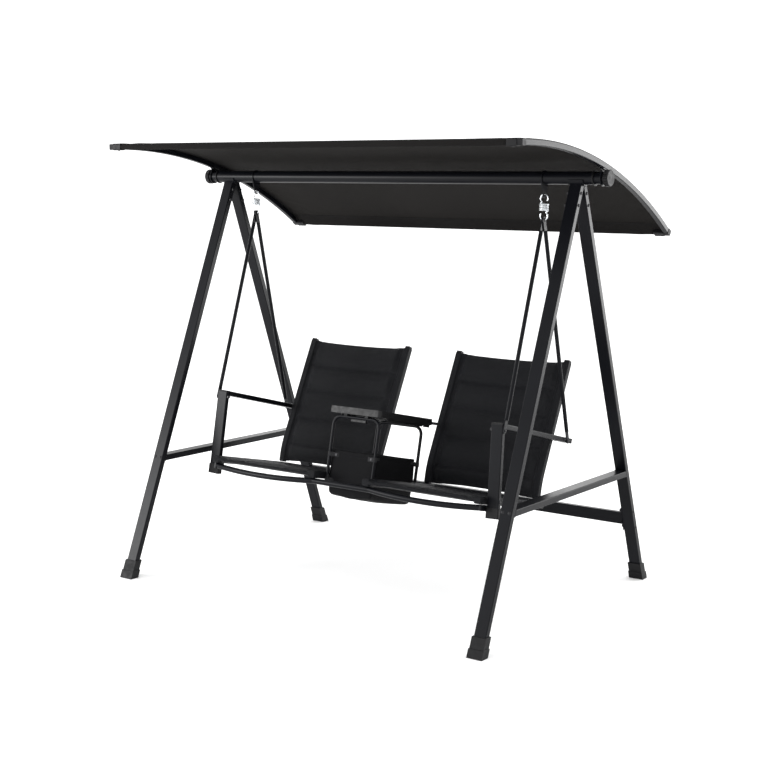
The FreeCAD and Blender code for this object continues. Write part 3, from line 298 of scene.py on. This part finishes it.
def stitches(name, rows, body, length=0.0045, gap=0.0022, radius=0.00045):
    """Rows of short stitches; each row is a list of (point, normal) pairs."""
    verts, faces = [], []
    sides = 5
    for row in rows:
        travelled = 0.0
        for (a, normal), (b, _) in zip(row, row[1:]):
            step = (b - a).length
            along = (b - a).normalized()
            across = along.cross(normal).normalized()
            while travelled < step:
                base = len(verts)
                for share, swell in ((0, 0.35), (0.2, 1), (0.8, 1), (1, 0.35)):
                    centre = a + along * (travelled + share * length) + normal * radius * 0.4
                    for k in range(sides):
                        turn = math.tau * k / sides
                        verts.append(centre + (across * math.cos(turn) + normal * math.sin(turn))
                                     * radius * swell)
                for ring in range(3):
                    for k in range(sides):
                        a0 = base + ring * sides + k
                        a1 = base + ring * sides + (k + 1) % sides
                        faces.append((a0, a1, a1 + sides, a0 + sides))
                faces.append(tuple(base + k for k in reversed(range(sides))))
                faces.append(tuple(base + 3 * sides + k for k in range(sides)))
                travelled += length + gap
            travelled -= step
    return piece(name, verts, faces, THREAD, body)


# ------------------------------------------------------------- padded slings

# Across a sling: where its sleeve ends, where the filled pad starts, and the mesh columns there.
BORDER = 0.0268
PAD_START = 0.034
EDGE_COLUMNS = 12
BORDER_COLUMN = 7
RAIL_HALF = 0.012
SLEEVE_ROUND = 0.004
PUFF_LIMIT = 0.0025
PUFF_FRAMES = 20


def channel_crown(v, seams):
    """0 on a seam and 1 in the middle of a channel."""
    for low, high in zip(seams, seams[1:]):
        if v <= high:
            share = (v - low) / (high - low)
            return math.sin(math.pi * min(max(share, 0.0), 1.0)) ** 0.62
    return 0.0


def inflate(item, pinned, pressure=4.0):
    """Cloth pressure fills the panel out between its pinned seams, as far as PUFF_LIMIT."""
    start = [v.co.copy() for v in item.data.vertices]
    item.vertex_groups.new(name="pinned").add(pinned, 1.0, "REPLACE")
    cloth = item.modifiers.new("Cloth", "CLOTH")
    cloth.settings.quality = 4
    cloth.settings.mass = 0.3
    cloth.settings.tension_stiffness = 20
    cloth.settings.compression_stiffness = 8
    cloth.settings.bending_stiffness = 0.4
    cloth.settings.shrink_min = -0.02
    cloth.settings.vertex_group_mass = "pinned"
    cloth.settings.use_pressure = True
    cloth.settings.uniform_pressure_force = pressure
    cloth.settings.effector_weights.gravity = 0
    cloth.collision_settings.use_collision = False
    for step in range(1, PUFF_FRAMES + 1):
        SCENE.frame_set(step)
    shaped = item.evaluated_get(bpy.context.evaluated_depsgraph_get()).to_mesh()
    moved = [v.co.copy() for v in shaped.vertices]
    item.modifiers.remove(cloth)
    item.vertex_groups.clear()
    for vertex, before, after in zip(item.data.vertices, start, moved):
        shift = after - before
        vertex.co = before + shift * min(1.0, PUFF_LIMIT / max(shift.length, 1e-9))
    item.data.update()
    SCENE.frame_set(1)


def across_places(width):
    """Distances across a sling: fine over its edges and rail sleeves, even between them."""
    edge = [0.0, 0.0006, 0.0018, 0.004, 0.0075, 0.014, 0.0205, BORDER, 0.0285, 0.0305, PAD_START, 0.040]
    inner = 52
    middle = [0.040 + (width - 0.080) * k / inner for k in range(1, inner)]
    return edge + middle + [width - e for e in reversed(edge)]


def sling_ring(seams, rows=92, nose=9, back_rows=60):
    """Walk round a sling's section: (share of length, turn, side); turn is used on the two noses."""
    ring = [(j / rows, 90.0) for j in range(1, rows)]
    for seam in seams[1:-1]:
        nearest = min(range(len(ring)), key=lambda k: abs(ring[k][0] - seam))
        ring[nearest] = (seam, 90.0)
    ring += [(1.0, 90.0 - 180.0 * k / nose) for k in range(nose + 1)]
    ring += [(1 - j / back_rows, -90.0) for j in range(1, back_rows)]
    ring += [(0.0, -90.0 - 180.0 * k / nose) for k in range(nose + 1)]
    return ring


class SeatShape:
    """Flat lie of a seat sling: length runs to the rear, height up."""

    sleeve = 0.0154

    def __init__(self, node):
        self.low, self.high = local_box(node, SEAT)
        self.start, self.end = self.low.y, self.high.y
        self.middle = self.low.z + self.sleeve

    def point(self, x, length, height):
        return SEAT @ Vector((x, length, self.middle + height))

    def facing(self, _length):
        return SEAT.to_3x3() @ Vector((0, 0, 1))


class BackShape:
    """Lie of a back sling up its rails, which stand straight at the foot and then lean back."""

    slope = math.radians(13.6)
    radius = 0.350

    def __init__(self, node):
        self.low, self.high = local_box(node, SEAT)
        rail_low, rail_high = local_box(node.replace("sling", "rails"), SEAT)
        self.foot_y = rail_low.y + RAIL_HALF
        self.bottom = self.low.z
        lean = math.tan(self.slope)
        top_y = rail_high.y - RAIL_HALF * math.cos(self.slope)
        top_z = rail_high.z - RAIL_HALF * math.sin(self.slope)
        corner = top_z - (top_y - self.foot_y) / lean
        tangent = self.radius * math.tan(self.slope / 2)
        self.bend = corner - tangent
        self.start = 0.0
        straight = math.hypot(top_y - self.foot_y, top_z - corner) - tangent
        self.end = self.bend - self.bottom + self.radius * self.slope + straight - 0.0008

    def frame(self, length):
        """Point of the rails' middle line and its lean at a length from the sling's foot."""
        upright = self.bend - self.bottom
        if length <= upright:
            return self.foot_y, self.bottom + length, 0.0
        turn = min((length - upright) / self.radius, self.slope)
        y = self.foot_y + self.radius * (1 - math.cos(turn))
        z = self.bend + self.radius * math.sin(turn)
        rest = length - upright - self.radius * turn
        return y + rest * math.sin(turn), z + rest * math.cos(turn), turn

    def point(self, x, length, height):
        y, z, turn = self.frame(length)
        return SEAT @ Vector((x, y - height * math.cos(turn), z + height * math.sin(turn)))

    def facing(self, length):
        turn = self.frame(length)[2]
        return SEAT.to_3x3() @ Vector((0, -math.cos(turn), math.sin(turn)))


def sling_panel(name, node, shape, seams, depths, noses, dips):
    """Quilted sling: one closed skin round a filled pad, with a flat sleeve round each rail.

    depths holds, for the sitter's side and the back, how far the skin stands from the rails'
    middle plane over the sleeve, on a seam and on a channel's crown. noses holds how far its two
    ends round out along the sling, and dips how far each end is scooped in the middle.
    """
    left = shape.low.x
    width = shape.high.x - left
    across = across_places(width)
    ring = sling_ring(seams)
    shift = random.Random(name).random() * 50
    verts, uvs, pinned = [], [], []
    for i, inset in enumerate(across):
        edge = min(inset, width - inset)
        u = inset / width
        pad = smoothstep((edge - BORDER) / (PAD_START - BORDER))
        soft = smoothstep((edge - PAD_START) / 0.03)
        square = SLEEVE_ROUND - math.sqrt(max(SLEEVE_ROUND ** 2 - max(SLEEVE_ROUND - edge, 0.0) ** 2, 0.0))
        drop = [dip * (1 - abs(2 * u - 1) ** 2.4) for dip in dips]
        girth = 0.0
        for j, (share, turn) in enumerate(ring):
            crown = channel_crown(share, seams)
            pucker = noise.noise(Vector((u * 26 + shift, share * 5, turn))) * 0.0010 * (1 - crown) * soft
            faces_out = []
            for sleeve, thin, thick in depths:
                faces_out.append(sleeve + (thin + (thick - thin) * crown * soft - sleeve) * pad - square)
            centre = (faces_out[0] - faces_out[1]) / 2
            half = (faces_out[0] + faces_out[1]) / 2
            start, stop = shape.start + drop[0], shape.end - drop[1]
            long_nose = [noses[k] + (half - noses[k]) * pad for k in (0, 1)]
            radians = math.radians(turn)
            if share in (0.0, 1.0):
                nose = long_nose[int(share)]
                run = (stop - nose if share else start + nose) + math.cos(radians) * nose
            else:
                run = start + long_nose[0] + share * (stop - start - long_nose[0] - long_nose[1])
            height = centre + half * math.sin(radians) + (pucker if turn > 0 else -pucker)
            point = shape.point(left + inset, run, height)
            girth += (point - last).length if j else 0.0
            last = point
            verts.append(point)
            uvs.append((inset, girth))
            on_seam = any(abs(share - seam) < 1e-6 for seam in seams[1:-1])
            if edge < PAD_START + 0.001 or on_seam:
                pinned.append(len(verts) - 1)
    count, columns = len(ring), len(across)
    faces = []
    for i in range(columns - 1):
        for j in range(count):
            a, b = i * count + j, i * count + (j + 1) % count
            faces.append((a, b, b + count, a + count))
    faces.append(tuple(range(count))[::-1])
    faces.append(tuple((columns - 1) * count + j for j in range(count)))
    item = piece(name, verts, faces, SLING_CLOTH, "seat", uvs)
    inflate(item, pinned)
    sewn = []

    def stitch_spot(i, j):
        share, turn = ring[j]
        spot = shape.start + share * (shape.end - shape.start)
        return item.data.vertices[i * count + j].co.copy(), shape.facing(spot) * math.copysign(1, turn)

    for j, (share, turn) in enumerate(ring):
        if abs(turn) == 90.0 and any(abs(share - seam) < 1e-6 for seam in seams[1:-1]):
            sewn.append([stitch_spot(i, j) for i in range(EDGE_COLUMNS, columns - EDGE_COLUMNS)])
    border = [j for j, (share, turn) in enumerate(ring) if turn == 90.0 and 0.0 < share < 1.0]
    for column in (BORDER_COLUMN, columns - 1 - BORDER_COLUMN):
        sewn.append([stitch_spot(column, j) for j in border])
    stitches(name + "_stitching", sewn, "seat")
    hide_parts(node)


def make_slings():
    for side in SIDES:
        node = f"seat_sling_{side}"
        sling_panel(f"seat_pad_{side}", node, SeatShape(node),
                    seams=[0.0, 0.13, 0.345, 0.56, 0.775, 1.0],
                    depths=((0.0154, 0.0090, 0.0205), (0.0154, 0.0085, 0.0135)),
                    noses=(0.008, 0.003), dips=(0.0, 0.0))
        node = f"back_sling_{side}"
        sling_panel(f"back_pad_{side}", node, BackShape(node),
                    seams=[0.0, 0.13, 0.36, 0.59, 0.80, 1.0],
                    depths=((0.0134, 0.0070, 0.0200), (0.0134, -0.001, 0.0042)),
                    noses=(0.0025, 0.0025), dips=(0.008, 0.009))


# ----------------------------------------------------------------------- bag

BAG_CORNER = 0.007
BAG_SAG = 0.008
BAG_FLOOR_RISE = 0.010
BAG_LIP = 0.004
BAG_BELLY = 0.004
BAG_DROOP = 0.004
STRAP_WIDTH = 0.019


def rim_droop(share, across):
    """How far the rim hangs, at a share of the bag's depth and of its half width."""
    return BAG_DROOP * math.sin(math.pi * min(max(share, 0), 1)) + 0.0015 * (1 - across ** 2)


def rim_walk(half, front, rear, corner, steps=150):
    """Points round a rounded rectangle, evenly spaced, with their outward directions."""
    runs = []
    for x, y, turn in ((half, rear, 0), (-half, rear, 90), (-half, front, 180), (half, front, 270)):
        centre = Vector((x - math.copysign(corner, x), y - (corner if y == rear else -corner)))
        for k in range(7):
            angle = math.radians(turn + 15 * k)
            out = Vector((math.cos(angle), math.sin(angle)))
            runs.append((centre + out * corner, out))
    length = sum((b[0] - a[0]).length for a, b in zip(runs, runs[1:] + runs[:1]))
    walk, carried = [], 0.0
    step = length / steps
    for (a, out_a), (b, out_b) in zip(runs, runs[1:] + runs[:1]):
        span = (b - a).length
        while carried < span and len(walk) < steps:
            share = carried / span
            walk.append((a.lerp(b, share), out_a.lerp(out_b, share).normalized()))
            carried += step
        carried -= span
    return walk


def make_bag():
    """Soft open bag: one skin from the hem, down the walls and over the sagging floor."""
    low, high = local_box("storage_bag", SEAT)
    half, front, rear, top = high.x, low.y, high.y, high.z
    middle_y = (front + rear) / 2
    rear_floor = low.z + BAG_SAG
    front_floor = rear_floor + BAG_FLOOR_RISE

    def floor_height(x, y):
        share = (y - front) / (rear - front)
        belly = BAG_BELLY * math.sin(math.pi * min(max(share, 0), 1))
        return front_floor + (rear_floor - front_floor) * share - BAG_SAG * (1 - (x / half) ** 2) - belly

    walk = rim_walk(half, front, rear, BAG_CORNER)
    count = len(walk)
    rows = [("hem", 0.024), ("hem", 0.016), ("hem", 0.008), ("hem", 0.002), ("rim", 0.0)]
    rows += [("wall", share) for share in (0.015, 0.05, 0.1)]
    rows += [("wall", 0.1 + 0.9 * k / 26) for k in range(1, 27)]
    rows += [("floor", 1 - (k / 24) ** 0.9) for k in range(1, 24)]
    verts, uvs = [], []
    for j, (kind, amount) in enumerate(rows):
        for i, (point, out) in enumerate(walk):
            along = (point.y - front) / (rear - front)
            rim = top - rim_droop(along, point.x / half)
            crease = noise.noise(Vector((point.x * 22, point.y * 22, amount * 2.5)))
            if kind in ("hem", "rim"):
                spot = point - out * (0.0026 if kind == "hem" else 0.0014)
                z = rim - amount
            elif kind == "wall":
                bottom = floor_height(point.x, point.y) + BAG_LIP
                bulge = math.sin(math.pi * amount) * (0.0015 + 0.0035 * abs(out.x)) + crease * 0.0016
                rounding = max(0.0, amount - 0.93) / 0.07
                loose = 1 if amount > 0.12 else 0.3
                spot = point + out * (bulge * loose - BAG_LIP * rounding ** 2 - 0.0004)
                z = rim - (rim - bottom) * amount
            else:
                spot = Vector((point.x * amount, middle_y + (point.y - middle_y) * amount))
                spot -= out * BAG_LIP * amount
                lip = BAG_LIP * smoothstep((amount - 0.93) / 0.07)
                z = floor_height(spot.x, spot.y) + lip + crease * 0.002
            verts.append(SEAT @ Vector((spot.x, spot.y, z)))
            uvs.append((i * 0.0064, j * 0.006))
    faces = []
    for j in range(len(rows) - 1):
        for i in range(count):
            a, b = j * count + i, j * count + (i + 1) % count
            faces.append((a, a + count, b + count, b))
    verts.append(SEAT @ Vector((0, middle_y, floor_height(0, middle_y))))
    uvs.append((0.5, 0.5))
    base = (len(rows) - 1) * count
    faces += [(base + i, len(verts) - 1, base + (i + 1) % count) for i in range(count)]
    bag = piece("bag_shell", verts, faces, BAG_CLOTH, "seat", uvs)
    add_thickness(bag, 0.0012, 0)
    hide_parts("storage_bag")
    sewn = []
    for drop in (0.019, 0.022):
        row = []
        for point, out in walk + walk[:1]:
            droop = rim_droop((point.y - front) / (rear - front), point.x / half)
            spot = point + out * 0.0006
            normal = SEAT.to_3x3() @ Vector((out.x, out.y, 0))
            row.append((SEAT @ Vector((spot.x, spot.y, top - droop - drop)), normal))
        sewn.append(row)
    stitches("bag_stitching", sewn, "seat")
    make_bag_straps(half, front, rear)


def make_bag_straps(half, front, rear):
    """Webbing loops that hold the bag's corners to the legs of the two U frames."""
    studs_low, studs_high = local_box("bag_studs", SEAT)
    for end_name, end, wall in (("front", -1, front), ("rear", 1, rear)):
        low, high = local_box(f"console_frame_{end_name}", SEAT)
        tube = (high.y - low.y) / 2
        leg = Vector((high.x - tube, (low.y + high.y) / 2))
        for side_name, side in SIDES.items():
            for level_name, z in (("upper", studs_high.z - 0.005), ("lower", studs_low.z + 0.005)):
                ring = tube + 0.0011
                path = [Vector((0.072, wall + end * 0.0009)), Vector((0.090, wall + end * 0.0010))]
                for k in range(12):
                    turn = math.radians(135 - 225 * k / 11)
                    path.append(leg + Vector((math.cos(turn), end * math.sin(turn))) * ring)
                path.append(Vector((half + 0.0010, wall - end * 0.012)))
                path.append(Vector((half + 0.0010, wall - end * 0.030)))
                verts, uvs, run = [], [], 0.0
                for k, spot in enumerate(path):
                    run += (spot - path[k - 1]).length if k else 0.0
                    for m in range(5):
                        rise = (m / 4 - 0.5) * STRAP_WIDTH
                        verts.append(SEAT @ Vector((side * spot.x, spot.y, z + rise)))
                        uvs.append((rise, run))
                strap = piece(f"bag_strap_{end_name}_{side_name}_{level_name}", verts,
                              grid_faces(5, len(path)), WEBBING, "seat", uvs)
                add_thickness(strap, 0.0011, 0)


# -------------------------------------------------------------------- canopy

ARC_RADIUS = 2.104
CLOTH = 0.0012
EDGE_INSET = 0.003
HEM = 0.05
SLEEVE_LENGTH = 0.041
SLEEVE_REACH = 0.0145


class Canopy:
    """The sheet's own measures, taken from the CAD sheet, bars and arcs."""

    def __init__(self):
        low, high = local_box("canopy_fabric", CANOPY)
        self.half = (high.x - low.x) / 2
        self.centre_z = high.z - ARC_RADIUS
        low, high = local_box("canopy_bar_front", CANOPY)
        self.loop = (high.z - low.z) / 2 + CLOTH
        bar_y, bar_z = (low.y + high.y) / 2, (low.z + high.z) / 2
        self.reach = math.atan2(-bar_y, bar_z - self.centre_z)
        self.bar_depth = ARC_RADIUS - math.hypot(bar_y, bar_z - self.centre_z)
        self.arc_in = local_box("canopy_arc_right", CANOPY)[0].x
        self.bar_end = self.arc_in - SLEEVE_LENGTH
        self.notch = self.reach - SLEEVE_REACH / ARC_RADIUS

    def point(self, x, angle, depth):
        """Point of the sheet; the cloth settles and ripples a little between the arcs."""
        across = 1 - smoothstep((abs(x) / self.half - 0.55) / 0.43)
        along = math.cos(math.pi / 2 * min(abs(angle) / self.reach, 1.0))
        ripple = noise.noise(Vector((x * 2.6, angle * 9, 0.3))) * 0.002 * along
        near = ((1 - abs(x) / self.half) / 0.2) ** 2 + ((1 - abs(angle) / self.reach) / 0.35) ** 2
        pull = math.sin((abs(x) * 1.05 + abs(angle) * 3.2) * 50) * 0.0012 * math.exp(-near)
        settled = 0.007 * across * along + 0.0011 * smoothstep((abs(x) - self.arc_in + 0.01) / 0.01)
        radius = ARC_RADIUS - depth - settled + (ripple + pull) * (1 if abs(x) < self.arc_in else 0)
        return Vector((x, radius * math.sin(angle), self.centre_z + radius * math.cos(angle)))

    def profile(self):
        """(angle, depth, in hem) along the sheet: under-hem, loop round the bar, top, loop, under-hem."""
        rear = []
        for k in range(9):
            share = 1 - k / 8
            rear.append((-0.014 - 0.036 * share, 0.0018 + 0.0145 * (1 - min(share * 1.35, 1)) ** 1.4, 1))
        for k in range(1, 19):
            turn = math.radians(228 - 228 * k / 18)
            rear.append((self.loop * math.sin(turn), self.bar_depth - self.loop * math.cos(turn), 1))
        rear = [(self.reach + out / ARC_RADIUS, depth, hem) for out, depth, hem in rear]
        rear.append((self.reach - 0.008 / ARC_RADIUS, 0.0, 1))
        rows = 106
        top = []
        for k in range(rows + 1):
            angle = self.notch * (2 * k / rows - 1)
            top.append((angle, 0.0, 1 if self.reach - abs(angle) < HEM / ARC_RADIUS else 0))
        front = [(-angle, depth, hem) for angle, depth, hem in rear]
        return front + top + rear[::-1]


def make_canopy():
    """One sheet from hem to hem, notched round the corner sleeves."""
    canopy = Canopy()
    profile = canopy.profile()
    edge = canopy.half - EDGE_INSET
    bar_end = canopy.bar_end
    flank = 7
    columns = [-edge + (edge - bar_end) * k / flank for k in range(flank)]
    columns += [bar_end * (2 * k / 128 - 1) for k in range(129)]
    columns += [edge - (edge - bar_end) * k / flank for k in reversed(range(flank))]
    verts, uvs = [], []
    run = 0.0
    for j, (angle, depth, _) in enumerate(profile):
        if j:
            before = profile[j - 1]
            run += math.hypot((angle - before[0]) * ARC_RADIUS, depth - before[1])
        for x in columns:
            pucker = noise.noise(Vector((x * 30, j * 0.3, 1.7))) * (0.0004 if depth else 0.0)
            verts.append(CANOPY @ canopy.point(x, angle, depth + pucker))
            uvs.append((x, run))
    faces, hems = [], []
    for j in range(len(profile) - 1):
        outside = max(abs(profile[j][0]), abs(profile[j + 1][0])) > canopy.notch + 1e-6
        for i in range(len(columns) - 1):
            flap = i < flank or i >= len(columns) - 1 - flank
            if flap and outside:
                continue
            a = j * len(columns) + i
            faces.append((a, a + 1, a + len(columns) + 1, a + len(columns)))
            hems.append(1 if profile[j][2] or min(i, len(columns) - 2 - i) < 4 else 0)
    used = sorted({index for face in faces for index in face})
    place = {index: k for k, index in enumerate(used)}
    sheet = piece("canopy_sheet", [verts[k] for k in used], [tuple(place[k] for k in f) for f in faces],
                  CANOPY_CLOTH, "canopy", [uvs[k] for k in used])
    sheet.data.materials.append(HEM_CLOTH)
    sheet.data.polygons.foreach_set("material_index", hems)
    add_thickness(sheet, CLOTH, -1)
    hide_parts("canopy_fabric")
    sew_canopy(canopy, edge, bar_end)


def add_thickness(item, thickness, offset):
    solid = item.modifiers.new("Thickness", "SOLIDIFY")
    solid.thickness = thickness
    solid.offset = offset
    apply_modifiers(item)


def apply_modifiers(item):
    shaped = item.evaluated_get(bpy.context.evaluated_depsgraph_get())
    mesh = bpy.data.meshes.new_from_object(shaped)
    item.modifiers.clear()
    item.data = mesh


def sew_canopy(canopy, edge, bar_end):
    """Two rows of stitches along each hem and one inside each side arc."""
    rows = []
    for end in (-1, 1):
        for inward in (0.040, 0.046):
            angle = end * (canopy.reach - inward / ARC_RADIUS)
            for depth, face in ((0.0, 1), (0.0034, -1)):
                line = []
                for k in range(161):
                    x = (2 * k / 160 - 1) * (bar_end - 0.006)
                    point = canopy.point(x, angle, depth)
                    normal = Vector((0, math.sin(angle), math.cos(angle))) * face
                    line.append((CANOPY @ point, CANOPY.to_3x3() @ normal))
                rows.append(line)
    for side in (-1, 1):
        for inward in (0.030, 0.036):
            for depth, face in ((0.0, 1), (CLOTH, -1)):
                line = []
                for k in range(101):
                    angle = (canopy.reach - HEM / ARC_RADIUS) * (2 * k / 100 - 1)
                    point = canopy.point(side * (edge - inward), angle, depth)
                    normal = Vector((0, math.sin(angle), math.cos(angle))) * face
                    line.append((CANOPY @ point, CANOPY.to_3x3() @ normal))
                rows.append(line)
    stitches("canopy_stitching", rows, "canopy", length=0.006, gap=0.003, radius=0.0005)


# --------------------------------------------------------------- camera, light

CAMERA_PLACE = (3.3231, -4.7529, 1.6176)
CAMERA_YAW = math.radians(35.117)
CAMERA_PITCH = math.radians(7.754)
CAMERA_ROLL = 0.0118131
FLOOR_SIZE = 40.0


def make_view():
    """Camera at the front right, a little above seat height, looking slightly down."""
    camera = bpy.data.cameras.new("camera")
    camera.lens = 65.88
    camera.sensor_width = 36
    item = bpy.data.objects.new("camera", camera)
    yaw, pitch, roll = CAMERA_YAW, CAMERA_PITCH, CAMERA_ROLL
    look = Vector((-math.sin(yaw) * math.cos(pitch), math.cos(yaw) * math.cos(pitch), -math.sin(pitch)))
    right = Vector((math.cos(yaw), math.sin(yaw), 0))
    up = right.cross(look)
    rolled_right = right * math.cos(roll) + up * math.sin(roll)
    rolled_up = up * math.cos(roll) - right * math.sin(roll)
    turn = Matrix((rolled_right, rolled_up, -look)).transposed().to_4x4()
    item.matrix_world = Matrix.Translation(CAMERA_PLACE) @ turn
    SCENE.collection.objects.link(item)
    SCENE.camera = item


def soft_light(name, place, target, width, height, power):
    light = bpy.data.lights.new(name, "AREA")
    light.shape = "RECTANGLE"
    light.size = width
    light.size_y = height
    light.energy = power
    item = bpy.data.objects.new(name, light)
    aim = Vector(target) - Vector(place)
    item.matrix_world = Matrix.Translation(place) @ aim.to_track_quat("-Z", "Y").to_matrix().to_4x4()
    SCENE.collection.objects.link(item)


def make_studio():
    SCENE.view_settings.view_transform = "Standard"
    world = bpy.data.worlds.new("studio")
    world.use_nodes = True
    world.node_tree.nodes["Background"].inputs["Color"].default_value = (1, 1, 1, 1)
    world.node_tree.nodes["Background"].inputs["Strength"].default_value = 1.45
    SCENE.world = world
    mesh = bpy.data.meshes.new("floor")
    corners = [(x * FLOOR_SIZE, y * FLOOR_SIZE, 0) for x, y in ((-1, -1), (1, -1), (1, 1), (-1, 1))]
    mesh.from_pydata(corners, [], [(0, 1, 2, 3)])
    look = Look("floor", (0.985, 0.985, 0.985), 0.9, Specular_IOR_Level=0.1)
    look.color(look.shades(look.grain(1.5, 2.0), (0.98, 0.98, 0.98), (0.99, 0.99, 0.99)))
    mesh.materials.append(look.material)
    floor = bpy.data.objects.new("floor", mesh)
    floor.location.z = -0.0005
    SCENE.collection.objects.link(floor)
    soft_light("key", (-4.0, -4.2, 1.6), (-0.3, 0, 0.9), 1.3, 1.7, 200)
    soft_light("rim", (3.7, 4.7, 1.5), (0.9, 0, 1.4), 2.4, 2.0, 180)
    soft_light("back", (-3.0, 4.9, 2.0), (0, 0, 0.6), 3.0, 1.2, 30)


dress_frame()
make_slings()
make_canopy()
make_bag()
make_view()
make_studio()
